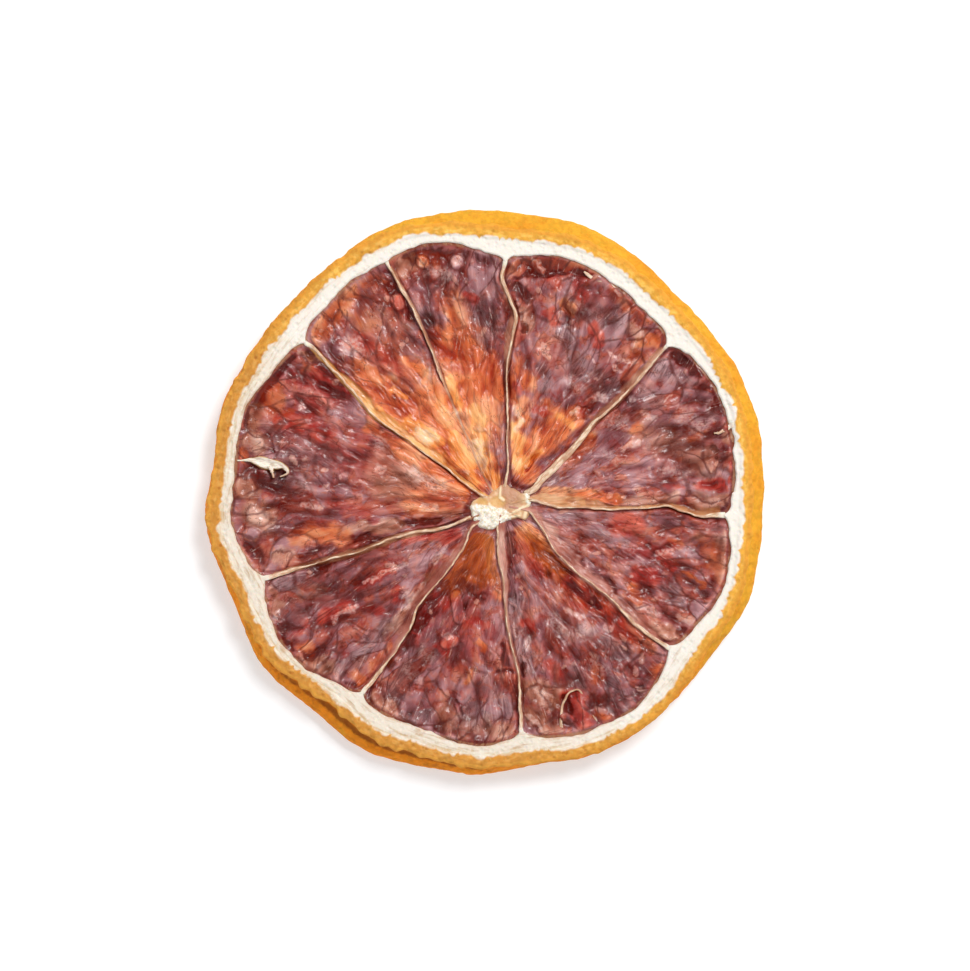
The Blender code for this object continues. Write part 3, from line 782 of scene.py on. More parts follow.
# What shows on it, as lines in the plan: (x and y of one end, x and y of the other, half width)
CRYSTALS = ((-1.0, -2.6, 1.5, -3.0, 1.25), (-1.2, -2.4, -0.6, -3.3, 0.9), (0.3, -3.3, 0.5, -3.8, 0.6))
KNOT = ((4.55, -0.1, 4.75, -1.0, 0.38), (4.3, 0.7, 4.55, -0.1, 0.2))
FILM = ((2.75, -0.8, 2.5, -0.4, 1.15), (2.1, 0.4, 2.3, 0.2, 0.45))
AMBER_SPOTS = ((-0.5, -1.25, -0.35, -1.3, 0.62), (1.1, -1.2, 1.5, -1.0, 0.6))
STRANDS = (
    (1.6, 1.1, 1.55, -0.6, 0.12), (1.55, -0.6, 1.9, -0.9, 0.16), (2.3, 1.0, 4.3, 0.1, 0.14),
    (1.9, -2.8, 3.6, -2.6, 0.13), (4.2, -2.7, 4.3, -2.3, 0.2), (0.4, -1.3, 0.8, -2.2, 0.14),
    (3.2, -2.1, 4.7, -1.4, 0.12), (2.6, -2.4, 4.0, -1.6, 0.1),
)
BALL_SUBDIVISIONS = 6
UNDER_PULP = 0.35  # how far the core runs in under the pulp


def core_edge(degrees):
    angles, reach = np.array(CORE_OUTLINE).T
    return np.interp(degrees, angles, reach, period=360)


def near_lines(x, y, lines, fade=0.45):
    """How strongly the lines show at each point, fading out over this share of their half width."""
    most = np.zeros(np.shape(x))
    for x1, y1, x2, y2, half, *strength in lines:
        run = max((x2 - x1) ** 2 + (y2 - y1) ** 2, 1e-6)
        share = np.clip(((x - x1) * (x2 - x1) + (y - y1) * (y2 - y1)) / run, 0, 1)
        off = np.hypot(x - x1 - share * (x2 - x1), y - y1 - share * (y2 - y1)) / half
        most = np.maximum(most, eased((1 + fade - off) / (2 * fade)) * (strength[0] if strength else 1))
    return most


def make_core():
    select_only()
    bpy.ops.mesh.primitive_ico_sphere_add(subdivisions=BALL_SUBDIVISIONS, radius=MM)
    core = new_piece("core")
    x, y, z = points_of(core).T / MM
    degrees, share = angle_of(x, y), np.hypot(x, y)
    reach = (core_edge(degrees) + UNDER_PULP) * np.clip(share, 0, 1) ** 1.1
    reach += ripple(degrees / 9, z, 1, 200, 0.15) * share
    x, y = from_core(reach, degrees)
    shown = dict(crystals=CRYSTALS, film=FILM, knot=KNOT, amber=AMBER_SPOTS, strands=STRANDS)
    shown = {name: near_lines(x, y, lines) for name, lines in shown.items()}
    level = height(angle_of(x, y)) - MEMBRANE_SINK - 0.12 + ripple(x, y, 0.8, 201, 0.2)
    rough = ripple(x, y, 0.42, 202, 0.36) + ripple(x, y, 0.2, 203, 0.2)
    level += (
        shown["crystals"] * (0.12 + rough) + shown["knot"] * 0.14 + shown["strands"] * 0.1
        - shown["film"] * 0.1 - shown["amber"] * 0.12
    )
    level -= 0.5 * eased((share - 0.8) / 0.2)
    back = 0.2 + ripple(x, y, 0.9, 204, 0.1)
    middle = (level + back) / 2
    z = middle + np.sign(z) * (level - middle) * np.sqrt(np.clip(1 - share ** 8, 0, 1))
    place(core, x, y, z)
    for name, values in shown.items():
        mark(core, name, values)
    return core


def core_finish():
    finish = Finish("core", Subsurface_Weight=0.15, Subsurface_Scale=0.0006, Specular_IOR_Level=0.4)
    place_mm = finish.place()
    fine, broad = finish.noise(place_mm, 4, 3), finish.noise(place_mm, 1.0, 2)
    colour = finish.mix((0.6, 0.31, 0.15), (0.74, 0.51, 0.29), broad.between(0.4, 0.65))
    colour = finish.mix(colour, (0.47, 0.22, 0.12), finish.read("film") * 0.9)
    colour = finish.mix(colour, (0.66, 0.36, 0.1), finish.read("amber") * 0.8)
    colour = finish.mix(colour, (0.86, 0.7, 0.46), finish.read("strands") * 0.85)
    # the white crystals and the knot, darker in the gaps between the crystals
    white = (finish.read("crystals") + fine * 0.5 - 0.25).between(0.3, 0.7).most(finish.read("knot"))
    white_colour = finish.mix((0.78, 0.66, 0.47), (0.88, 0.84, 0.77), fine.between(0.38, 0.58))
    colour = finish.mix(colour, white_colour, white)
    gaps = 1 - finish.noise(place_mm, 2.6, 2).between(0.33, 0.42)
    colour = finish.mix(colour, (0.5, 0.4, 0.24), white * gaps * 0.5)
    relief = finish.bump(fine, 0.14, 0.5)
    finish.finish_with(Base_Color=colour, Roughness=white * 0.3 + 0.4, Normal=relief)
    return finish


hand_in(make_core(), core_finish())

# PULP. Nine segments of juice sacs, dried down to a glossy, wrinkled sheet. Each is a grid, thickened to a
# slab and fitted between its two membranes, the core and the pith. Its upper face carries the sacs, their
# folds and the juice's stains, some of which are painted light in part: highlights, shade beside the
# membranes, sheen and glow. A stain is a line as on the core, with its strength last if that isn't 1.
STAINS = {
    "upper_right": {
        "glow": (
            (3, 7.4, 3.6, 3.2, 0.7, 0.8), (7.4, 8.4, 9.4, 6.8, 0.6, 0.55), (4, 2.6, 5.6, 4.2, 0.5, 0.7),
        ),
        "brown": (
            (3.1, 24.8, 10, 24.3, 1.3, 0.9), (14.2, 21, 17.1, 19.3, 0.88, 0.8),
            (16.3, 14.5, 14.8, 11.4, 0.75),
        ),
        "pale": (
            (5.4, 24.8, 6.1, 23.8, 0.29, 0.8), (11.9, 22.9, 12.4, 23.2, 0.27),
            (14.2, 21.3, 14.4, 21.4, 0.23), (13.6, 14.5, 15.9, 14.3, 0.29, 0.9),
            (13.8, 13.5, 14.2, 13.1, 0.33, 0.9), (6.3, 15.8, 6.5, 14.5, 0.36),
            (3.3, 9.3, 3.5, 6.8, 0.36, 0.8), (11.7, 14.1, 11.7, 14.1, 0.27, 0.8),
            (11.9, 10.4, 12.7, 10.2, 0.54, 0.9), (9.2, 8.5, 10, 8.7, 0.27, 0.9),
            (4.2, 19.2, 5, 18.2, 0.8, 0.4), (10, 19.9, 11.2, 19.3, 0.9, 0.4),
            (9, 11.9, 9.9, 11.1, 0.8, 0.5), (4.8, 8.8, 5.6, 8, 0.8, 0.4),
        ),
        "dark": (
            (3.1, 23.1, 10.9, 23.5, 0.25, 0.8), (10, 23.7, 11.7, 23.3, 0.46, 0.8),
            (2.5, 22.5, 3.8, 21.4, 0.67, 0.9), (3.5, 20.2, 4, 17.5, 0.29, 0.9),
            (5.4, 3.9, 4.8, 2.6, 0.29, 0.9), (10, 8.7, 10.9, 8.5, 0.38, 0.9),
            (11.2, 16.8, 12.2, 15.6, 0.8, 0.4), (6.8, 22.2, 7.8, 21.4, 0.8, 0.4),
        ),
        "warm": (
            (8.6, 19.9, 9.2, 19.5, 0.67), (16.7, 16, 18.2, 16.4, 0.63), (3.3, 14.1, 4.8, 11.8, 0.79, 0.55),
            (3.4, 9.8, 4.3, 7.9, 0.8, 0.6), (2.8, 12.2, 3, 10.2, 0.7, 0.6), (6.7, 8.9, 8.8, 7.9, 1.1, 0.6),
            (5.2, 4.7, 9.2, 7.9, 1.36, 0.9), (3.5, 5.8, 4.6, 2.2, 1.15, 0.8),
            (2.7, 6.8, 3.3, 2.6, 0.71, 0.8),
        ),
        "red": (
            (6.9, 19.3, 7.5, 18.5, 0.63, 0.9), (11.9, 17.7, 12.3, 16, 0.63),
            (7.1, 23.1, 7.5, 22.9, 0.88, 0.6), (10, 22.5, 10.4, 21, 0.63, 0.6),
            (3.3, 11.6, 3.8, 11.2, 0.63, 0.7), (5.6, 8.7, 6.7, 8.5, 0.54, 0.9),
        ),
        "grey": (
            (10, 19.3, 14.2, 18.3, 1.25, 0.7), (8.4, 18.5, 9.2, 15.2, 1.25, 0.7),
            (9.6, 13.9, 10, 13.1, 1.04, 0.9), (11.3, 12.2, 12.9, 11, 1.25), (6.3, 13.1, 6.7, 11, 0.67, 0.7),
        ),
        "tan": ((15.7, 17.7, 16.9, 16.8, 0.88, 0.7), (4.1, 19.4, 4.8, 18, 0.9, 0.7)),
    },
    "right": {
        "warm": (
            (6.3, -0.4, 14.2, -0.7, 0.75), (22.3, 5.8, 23.4, 6.2, 0.54, 0.7),
            (15.9, 6.8, 16.7, 6.8, 0.63, 0.6), (10, 6, 11.3, 6.2, 0.88, 0.6),
        ),
        "tan": (
            (14.2, -1.1, 20.3, -0.8, 0.58, 0.7), (23, -1.4, 26.1, -1, 1, 0.8),
            (17, 6.4, 23.5, 3.4, 1.9, 0.5), (25.9, 6.2, 26.4, 3.9, 0.38, 0.8),
        ),
        "brown": ((9.2, 4.2, 11.4, 5.4, 0.9),),
        "dark": (
            (21.7, -1.9, 23, -2.2, 0.63, 0.6), (20.1, 15.4, 23.4, 13.1, 0.63),
            (24.2, 11.4, 25.3, 8.9, 0.42, 0.9), (24.4, 4.5, 24.7, 4.1, 0.31, 0.9),
        ),
        "grey": (
            (17.1, 14.1, 19.2, 13.1, 1.04, 0.8), (19.6, 12.5, 21.3, 12.2, 0.88, 0.7),
            (15.9, 9.9, 18.4, 9.7, 1.04, 0.7), (6.3, 0.8, 7.5, 1.4, 0.67),
        ),
        "pale": (
            (14.8, 4.7, 16.1, 4.9, 0.33, 0.9), (17.5, 8.1, 18.4, 7.6, 0.33, 0.7),
            (15.9, 10.2, 15.9, 10.1, 0.27, 0.7), (6.7, 0.9, 7.3, 1.2, 0.23, 0.9),
            (19.2, 9.7, 20.3, 10.2, 0.21, 0.7), (21.4, 8.2, 23, 7.4, 1.1, 0.5), (13, 8, 14.5, 7.5, 1, 0.5),
            (24, 9.2, 24.5, 8, 0.6, 0.5), (19.5, 2.2, 21.2, 1.7, 0.9, 0.5),
            (12.8, 3.9, 14.2, 3.4, 0.8, 0.5),
        ),
        "red": (
            (23.4, 0.4, 25.3, 0.8, 0.54), (19.2, 0.3, 21.3, 0.5, 0.42, 0.5),
            (26.2, 3.1, 26.4, 1.2, 0.29, 0.9),
        ),
    },
    "lower_right": {
        "red": (
            (14.2, -3.5, 16.3, -3.7, 1.04, 0.9), (9, -4.6, 14.6, -7, 1.3, 0.2),
            (16.3, -8.8, 18, -9.2, 0.88), (15.8, -6.4, 19.4, -6, 1.1, 0.5),
            (18.8, -7.1, 20.1, -8.1, 0.67, 0.9),
        ),
        "warm": (
            (19.6, -5.6, 20.5, -5.8, 0.63, 0.6), (15.9, -10.2, 16.1, -11.3, 0.67, 0.9),
            (21.7, -8.8, 23.4, -10, 0.38, 0.8), (24.6, -7.1, 25.3, -8.8, 1.04, 0.5),
            (23.2, -4.8, 24.6, -5.8, 1, 0.6),
        ),
        "tan": ((25.3, -5, 25.5, -8.8, 1.04, 0.7), (18.2, -14.6, 20.3, -15.7, 0.84, 0.9)),
        "pale": (
            (16.7, -12.3, 18.4, -13.1, 0.5), (20.9, -13.4, 21.9, -14.2, 0.5, 0.7),
            (18.4, -6.6, 19.6, -6.7, 0.29, 0.8), (15.5, -9, 15.5, -9, 0.19, 0.9),
            (9.4, -5.6, 10.8, -6.4, 0.9, 0.5),
        ),
        "grey": (
            (19.6, -10.4, 20.5, -11.9, 0.88, 0.9), (17.1, -3.3, 17.5, -3.7, 0.46, 0.7),
            (10, -3.5, 12.9, -4.8, 0.84, 0.5), (7.7, -2.3, 10, -2.2, 0.54, 0.7),
            (15, -5.6, 16.3, -6.7, 0.5, 0.7),
        ),
        "dark": (
            (20.9, -15, 21.5, -15.7, 0.54, 0.9), (6.8, -5.2, 13.6, -10.8, 0.8, 0.9),
            (16, -6.8, 19, -6, 0.7, 0.6), (4.6, -3, 5.6, -4.6, 0.7, 1.2),
            (14.4, -7.2, 15.4, -6.6, 0.7, 0.5),
        ),
    },
    "bottom": {
        "amber": ((4.6, -5.2, 8, -8.6, 0.8, 0.8),),
        "brown": ((4.6, -5.4, 12.1, -12, 1.6), (12.9, -12.7, 17.1, -16.4, 1.1, 0.9)),
        "warm": (
            (4.4, -4.2, 5.2, -5.4, 1.04, 0.8), (7, -6.3, 9.5, -8.6, 0.5, 0.6),
            (11.7, -19.2, 11.9, -20.2, 0.73, 0.7), (11.9, -24.2, 13.4, -24, 0.52, 0.6),
            (18.4, -19.6, 19.2, -18.6, 0.67, 0.6),
        ),
        "tan": (
            (2.3, -4.2, 2.5, -6.3, 0.67, 0.35), (5, -21.3, 7.5, -22.1, 1.3, 0.8),
            (5.2, -24.2, 7.1, -25.7, 1.15, 0.7),
        ),
        "grey": (
            (3.3, -11.7, 4, -18.6, 1), (6, -12.5, 9.5, -15.5, 1.3, 0.5),
            (12.9, -16.1, 14.6, -17.5, 1.04, 0.9), (13.8, -20.7, 14.6, -23.4, 0.79),
            (9.6, -18.8, 10, -20.5, 0.67, 0.8), (16.3, -22.1, 16.9, -21.1, 0.52, 0.8),
        ),
        "pale": (
            (4.4, -15.9, 4.6, -16.7, 0.29, 0.8), (5.2, -21.3, 7.1, -22.3, 0.25, 0.8),
            (4.8, -24.4, 5.8, -25.5, 0.33, 0.8), (10.2, -14.6, 10.9, -15.2, 0.67, 0.8),
            (8.8, -12.9, 10, -13.4, 0.33, 0.7), (12.7, -14.4, 13.4, -14.8, 0.42, 0.7),
            (7.2, -14, 8.2, -15.2, 0.9, 0.5), (6.1, -22.4, 7, -23.2, 0.8, 0.5),
            (11.6, -18.4, 12.6, -19.2, 0.8, 0.5),
        ),
        "dark": (
            (3.8, -18.2, 4.2, -19.4, 0.33, 0.9), (12.1, -22.5, 12.9, -22.5, 0.63),
            (8.8, -22.1, 9.2, -23.8, 0.33, 0.7), (5.2, -6, 12, -12, 0.8, 0.6),
            (2.5, -5, 2.7, -11, 0.7, 1.2),
        ),
        "red": (
            (4.2, -14.2, 4.6, -14.6, 0.67, 0.9), (4.4, -5.6, 6.2, -8.6, 1.1, 0.6),
            (6.9, -18.8, 7.9, -19.4, 0.88, 0.8), (8.6, -9.4, 15.8, -15.6, 0.9, 0.6),
            (5.2, -12.1, 8.4, -17.5, 1.6, 0.25), (9.8, -12.3, 11.7, -12.5, 0.63, 0.6),
            (9.2, -22.1, 10.7, -24.8, 0.94),
        ),
    },
    "lower_left": {
        "amber": (
            (-3.4, -9.4, -1.5, -6.7, 1.57), (-1.5, -7.1, 0.1, -5.6, 1.46), (-1.3, -5.6, -0.8, -8.8, 1.57),
        ),
        "warm": (
            (1.2, -8.8, 1.7, -11.1, 0.79, 0.6), (-0.7, -16, -0.3, -16.5, 0.45, 0.9),
            (-2, -20.9, -1.8, -19.6, 0.46, 0.8),
        ),
        "dark": (
            (-3, -9.6, -0.4, -11.4, 0.5, 0.5), (-7.6, -14.6, -4.9, -10.4, 0.8),
            (-6.6, -11.6, -4.6, -8.4, 0.6, 0.8), (-10.7, -18.6, -8.2, -15.9, 0.46, 0.9),
            (-6.4, -26.1, -3.4, -26.1, 0.7, 0.7), (-2.8, -22.8, -2.6, -24.2, 0.21, 0.7),
            (1.7, -19.4, 2.7, -19.4, 0.42, 0.7), (2.1, -16.5, 2.5, -18.6, 0.38, 0.8),
            (-0.3, -17, 0.5, -18.2, 0.8, 0.6), (0.7, -14.6, 1, -15.8, 0.7, 0.4),
        ),
        "red": (
            (-4.5, -11.5, -1, -15, 3.2, 0.4), (-7.8, -15.2, -5.1, -10.8, 1.04, 0.8),
            (-4.6, -16.7, -3.4, -15.9, 0.67), (-4.3, -12.1, -3.4, -11.3, 0.63, 0.8),
            (-2, -14.2, 0.1, -14.2, 0.52, 0.8),
        ),
        "pale": (
            (-4.1, -15.2, -3.4, -15.4, 0.38, 0.9), (-8.4, -19, -7.4, -19.8, 0.9, 0.4),
            (-6.8, -17.2, -6, -17.8, 0.8, 0.4),
        ),
        "grey": (
            (-7.6, -17.1, -9.1, -19.6, 1.25, 0.6), (-10.3, -20.9, -9.7, -22.3, 0.84, 0.9),
            (-7.8, -24.2, -6.4, -24, 0.67), (-2.4, -24.2, -1.5, -22.8, 0.84, 0.6),
            (-1.3, -24.2, -0.4, -24.6, 0.88), (0.4, -20.7, 2.1, -23.4, 1.25, 0.6),
        ),
        "tan": (
            (-11.8, -22.1, -10.3, -23.4, 0.88, 0.7), (-4.5, -23.4, -4.1, -25.5, 1.09, 0.6),
            (-2.8, -25.7, 0.1, -25.9, 1.15, 0.5), (0.4, -25.7, 2.3, -25.9, 1.25, 0.7),
        ),
    },
    "left": {
        "dark": (
            (-17.6, -7.7, -16.6, -7.7, 0.54), (-23.3, -10.8, -23.2, -11.3, 0.63, 0.7),
            (-19.5, -17.5, -17.8, -17.3, 0.38, 0.8), (-14.9, -20.9, -13.2, -21.3, 0.42, 0.6),
            (-22, -14.6, -20.8, -16.9, 0.42, 0.9),
        ),
        "tan": (
            (-23.5, -10.4, -22.9, -11.3, 0.67, 0.6), (-19.5, -11.3, -17.8, -10.2, 0.84, 0.5),
            (-19.5, -18.6, -16.6, -18.8, 0.88, 0.9), (-9.5, -14.6, -5.3, -8.8, 0.79, 0.8),
            (-22.6, -13.4, -22.4, -12.1, 0.52, 0.6),
        ),
        "grey": (
            (-22, -10, -18.3, -9.2, 1.25, 0.6), (-14.1, -18.2, -10.3, -14.2, 0.67, 0.9),
            (-16.6, -18.8, -14.5, -18.6, 0.88), (-21.8, -12.1, -19.5, -12.9, 1.25, 0.5),
        ),
        "red": (
            (-17.4, -13.4, -14.5, -12.1, 0.63, 0.9), (-13.7, -10.4, -10.3, -8.8, 0.52, 0.8),
            (-8.6, -5, -3.2, -4.8, 0.73, 0.8), (-9.9, -11.3, -9.5, -10.4, 0.52, 0.9),
            (-12.8, -12.5, -11.6, -12.7, 0.52, 0.8), (-19.9, -14.8, -19.1, -14, 0.52, 0.7),
        ),
        "pale": (
            (-16.6, -13.8, -13.5, -12.1, 0.25, 0.9), (-12.8, -10, -8.6, -7.9, 0.25, 0.9),
            (-8.4, -12.1, -8, -11.3, 0.8, 0.9), (-5.5, -7.1, -4.5, -5.8, 0.38, 0.8),
        ),
        "warm": (
            (-19.5, -16.9, -18.7, -17.1, 0.67, 0.6), (-13.9, -19.8, -13.2, -20.5, 0.73, 0.8),
            (-10.3, -17.1, -11.8, -18.8, 0.84, 0.5),
        ),
    },
    "upper_left": {
        "dark": (
            (-24.8, 2.3, -23.3, 1.75, 0.42), (-20.4, 12.4, -16.2, 10.6, 1, 0.8),
            (-20.6, 9.2, -19, 8.6, 0.9, 0.7), (-18.6, 7.2, -17.4, 6.6, 0.8, 0.5),
            (-20.8, 14.5, -24.1, 11, 0.46), (-24.1, 11, -26, 7.2, 0.29, 0.9),
            (-19.2, 14.9, -18.5, 14.9, 0.29, 0.9), (-17.8, 14.1, -14.5, 10.8, 0.94, 0.6),
            (-23.7, 5.6, -23.3, 4.3, 0.46, 0.9), (-24.9, 1.7, -22.2, 1.1, 1, 0.8),
            (-26, -5.8, -24.9, -7.1, 0.73, 0.7), (-20.3, -7.1, -10.7, -4.7, 0.46, 0.5),
            (-9.5, -3.2, -5.3, -3.2, 0.33, 0.8),
        ),
        "tan": (
            (-10, 2, -4.6, 0, 2.6), (-19.8, 14.9, -17.8, 14.5, 0.52, 0.7), (-25, 6.9, -24.9, 8.6, 0.9, 0.9),
            (-25.3, 5.3, -24.7, 5.2, 1.09, 0.9), (-26.1, 0.5, -25.7, 0.3, 1.25, 0.9),
            (-16.6, -4.4, -9.3, -3.4, 0.58, 0.8), (-25.2, -2.1, -23.5, -2.9, 1.3, 0.8),
            (-22.4, -6.9, -21, -6.9, 0.84, 0.6),
        ),
        "warm": (
            (-23.5, 11.4, -22.9, 9.7, 1.25), (-19.5, 13.5, -18.5, 13.3, 0.73, 0.6),
            (-22.9, 8.3, -21.2, 8.5, 0.52, 0.8), (-26.3, 4.1, -25.7, 3.7, 0.5, 0.8),
            (-11.4, 6.8, -6.1, 2.6, 0.84, 0.5), (-9.3, 4.9, -0.7, -0.7, 1.04, 0.9),
            (-19.9, -4.7, -15.3, -4.8, 1.09, 0.7), (-7.2, -1.2, -3.4, 0, 1.88, 0.55),
            (-12.4, 7.3, -10.6, 6, 0.8, 0.7),
        ),
        "red": (
            (-21, 9, -12, 4, 4, 0.4), (-17.8, 12.5, -14.9, 10.8, 1.25, 0.8), (-22.2, 7.9, -18.7, 7.4, 1),
            (-21.6, 11.6, -17, 10.4, 2, 0.55), (-18.3, 6, -16.6, 6, 0.67, 0.8),
            (-5.5, -0.6, -3.2, -1, 0.73, 0.5), (-16.6, -1, -12.4, -2.5, 0.94, 0.5),
        ),
        "grey": (
            (-21.2, 11.2, -19.5, 8.9, 1.25, 0.25), (-19.5, 9.9, -15.8, 9.3, 1.25, 0.6),
            (-23.5, 7, -22.4, 6.4, 0.84, 0.6), (-21.2, 3.3, -16.6, 4.1, 1.25),
            (-21.2, 6.2, -12.4, 3.3, 1.25, 0.5), (-19.5, 0.6, -22.4, 0.8, 1.25, 0.6),
            (-12.4, -3.5, -10.3, -3.5, 0.58, 0.8),
        ),
        "pale": (
            (-19.9, 9.2, -19.9, 9.2, 0.33, 0.7), (-11.6, 5.6, -11.2, 4.7, 0.88, 0.5),
            (-11.4, 2.6, -11.3, 2.6, 0.46), (-15.5, 1.7, -15.5, 1.6, 0.19), (-17.1, 2.4, -17.1, 2.4, 0.19),
            (-19.5, -1.4, -18, -1.6, 0.42, 0.8), (-7, -1.9, -5.3, -1.7, 0.29, 0.7),
            (-7.4, 1.6, -4.6, 0.6, 0.9, 0.7),
        ),
    },
    "top_left": {
        "glow": (
            (-13, 9.6, -10.4, 6.8, 0.7), (-9.6, 6.2, -4.4, 3.2, 0.8, 0.9), (-8.4, 7.4, -5.4, 5.6, 0.7),
            (-3.3, 5.6, -1.6, 1.5, 0.8), (-9.8, 10.9, -8.6, 10.5, 0.35), (-5.2, 10.2, -3.4, 6.4, 0.6, 0.4),
        ),
        "warm": (
            (-12.5, 19, -8.5, 12, 3.2, 0.45), (-18.6, 16.5, -14.5, 21.5, 1.2, 0.75),
            (-12.8, 22.9, -11.2, 22.7, 1.04, 0.5), (-13.5, 13.1, -10.3, 11, 1.25, 0.8),
            (-8.6, 14.5, -6.4, 12.2, 0.42), (-13.2, 10.8, -10.1, 8.3, 1.04), (-10.1, 8.3, -4.1, 5.1, 1.98),
            (-6.1, 9.9, -0.9, 2.6, 2.72, 0.8),
        ),
        "red": ((-9.5, 20.6, -9.4, 20.2, 0.79), (-13.5, 16.2, -9.3, 13.1, 1.04, 0.6)),
        "dark": ((-10.3, 21.9, -7, 18.3, 0.5, 0.8), (-10.6, 20.4, -9.6, 19.2, 0.8, 0.5)),
        "pale": ((-14.7, 15.8, -13.9, 15.6, 0.94, 0.9), (-7.4, 6.2, -5.7, 5.8, 0.5, 0.9)),
        "grey": (
            (-13.9, 17.7, -12.4, 18.9, 0.73, 0.9), (-11.2, 17.9, -8.2, 16, 0.84, 0.6),
            (-10.3, 11.8, -6.1, 9.7, 0.94, 0.6), (-14.1, 13.1, -13.5, 12, 0.52, 0.6),
        ),
        "tan": ((-17.8, 18.5, -18.3, 16.4, 0.73, 0.6),),
    },
    "top": {
        "glow": (
            (-0.9, 8.6, -0.3, 3.6, 0.8, 0.9), (-0.7, 2.9, 1.1, 1, 0.7), (-3.9, 12.1, -2.6, 8.9, 0.5, 0.8),
        ),
        "warm": (
            (-2, 6.8, -0.1, 2.6, 1.25), (-6.6, 25.2, -5.7, 25.2, 0.84), (-3.8, 19.3, -3, 18.3, 0.58, 0.8),
            (-3, 16.8, -2, 14.1, 1.25, 0.6), (-3.2, 15.4, -1, 8, 2.6), (-3.6, 21, -2, 17, 1.6, 0.55),
            (0.3, 14.4, 1.2, 10.2, 1.1, 0.8),
        ),
        "pale": (
            (-0.8, 5.1, -0.3, 2.2, 0.5, 0.9), (-6.9, 24.7, -6.8, 24.6, 0.29),
            (-7.6, 23.5, -7.6, 23.5, 0.25, 0.8), (-3.2, 24.8, -3, 24.6, 0.63, 0.7),
            (-5.6, 23.7, -4.2, 23, 0.9, 0.6),
        ),
        "grey": (
            (-2, 25.6, 1.2, 21.9, 1.6, 0.3), (-4.5, 23.1, -3.2, 21.4, 0.84, 0.6),
            (-6.6, 18.5, -4.3, 14.8, 1.25, 0.9), (-1.1, 20.2, 0.1, 17.3, 1.67, 0.8),
        ),
        "red": ((-2, 21.2, -1.3, 20.6, 0.58, 0.7), (-4.3, 13.5, -2, 13.1, 0.73, 0.6)),
        "dark": (
            (-6.6, 18.5, -4.3, 14.8, 0.88, 0.7), (-1.1, 20.2, 0.1, 18.9, 1.04, 0.25),
            (-8.4, 25.4, -4.5, 26.2, 0.33, 0.7), (-0.8, 24.6, 0.6, 22.6, 0.9, 0.3),
            (-1.5, 25.6, 0.2, 24.8, 1, 0.6),
        ),
        "tan": ((-8.4, 25, -9.7, 24.2, 1.1, 0.9),),
    },
}
DROPS = {  # single round sacs, written as the stains are
    "upper_left": (
        (-25.85, 0.6, -25.8, 0.4, 1.1), (-25.2, 5.4, -24.8, 5.2, 0.95), (-24.8, -2.5, -24.1, -2.7, 0.9),
        (-25.3, -4.6, -25, -4.7, 0.75),
    ),
    "top_left": ((-9.6, 20.65, -9.35, 20.15, 0.62),),
    "top": ((-6.9, 24.8, -6.7, 24.7, 0.62), (-3.1, 24.8, -3, 24.6, 0.7)),
    "upper_right": ((9.2, 19.9, 9.5, 19.6, 0.5), (8.1, 19.2, 8.2, 18.6, 0.45)),
    "lower_left": ((-3.2, -11.2, -2.8, -13.6, 0.62), (-4.2, -16.2, -3.6, -16, 0.7)),
    "bottom": ((8.5, -24.2, 9, -24.5, 0.5),),
}
PULP_SAG = 0.35  # how far a segment sags in its middle
TROUGH = 0.05  # how far it dips beside its borders
TROUGH_WIDTH = 0.7
PULP_CLIMB = 0.4  # how far it climbs at the pith
SKIN_CLIMB = 0.36  # how far a membrane's skin climbs from the pulp to the crest
WALL_WIDTH = 0.4  # the bare strip beside the borders
CORNER = 0.6  # how round its corners are
BACK_PULP_SINK = 0.85
BACK_EDGE = 0.3  # how high its back ends at the borders
COLUMNS, ROWS = 140, 190
CROWDING = 0.05  # how much closer the columns stand beside the membranes
LAP_POWER = 8  # keeps the lap over the sunk membrane to the columns next to it
UNDER_PITH = 0.5  # how far the pulp runs in under the pith
UNDER_CORE = 0.9  # where it starts, as a distance from the core's middle
ACROSS_RADIUS = 14  # where the angle across a segment is turned into mm
FIRST_SAC, LAST_SAC = 4.5, 27  # as distances from the core
# Juice sacs: (step from row to row, spacing along a row, half lengths, half widths, rises, lean in degrees)
LARGE_SACS = (2.9, 1.9, (2.0, 3.9), (0.75, 1.25), (0.25, 0.6), 16)
MEDIUM_SACS = (1.9, 1.2, (1.4, 3.4), (0.3, 0.7), (0.1, 0.35), 26)
PEBBLES = (1.6, 1.5, (0.8, 1.5), (0.5, 0.9), (0.15, 0.4), 40)
BEADS = (1.3, 1.2, (0.25, 0.8), (0.2, 0.4), (0.1, 0.3), 60)
STAIN_RISE = {
    "red": 0.12, "warm": 0.06, "pale": 0.16, "tan": 0.05, "dark": -0.26, "grey": -0.04, "amber": -0.3,
    "brown": -0.25, "glow": 0.1,
}


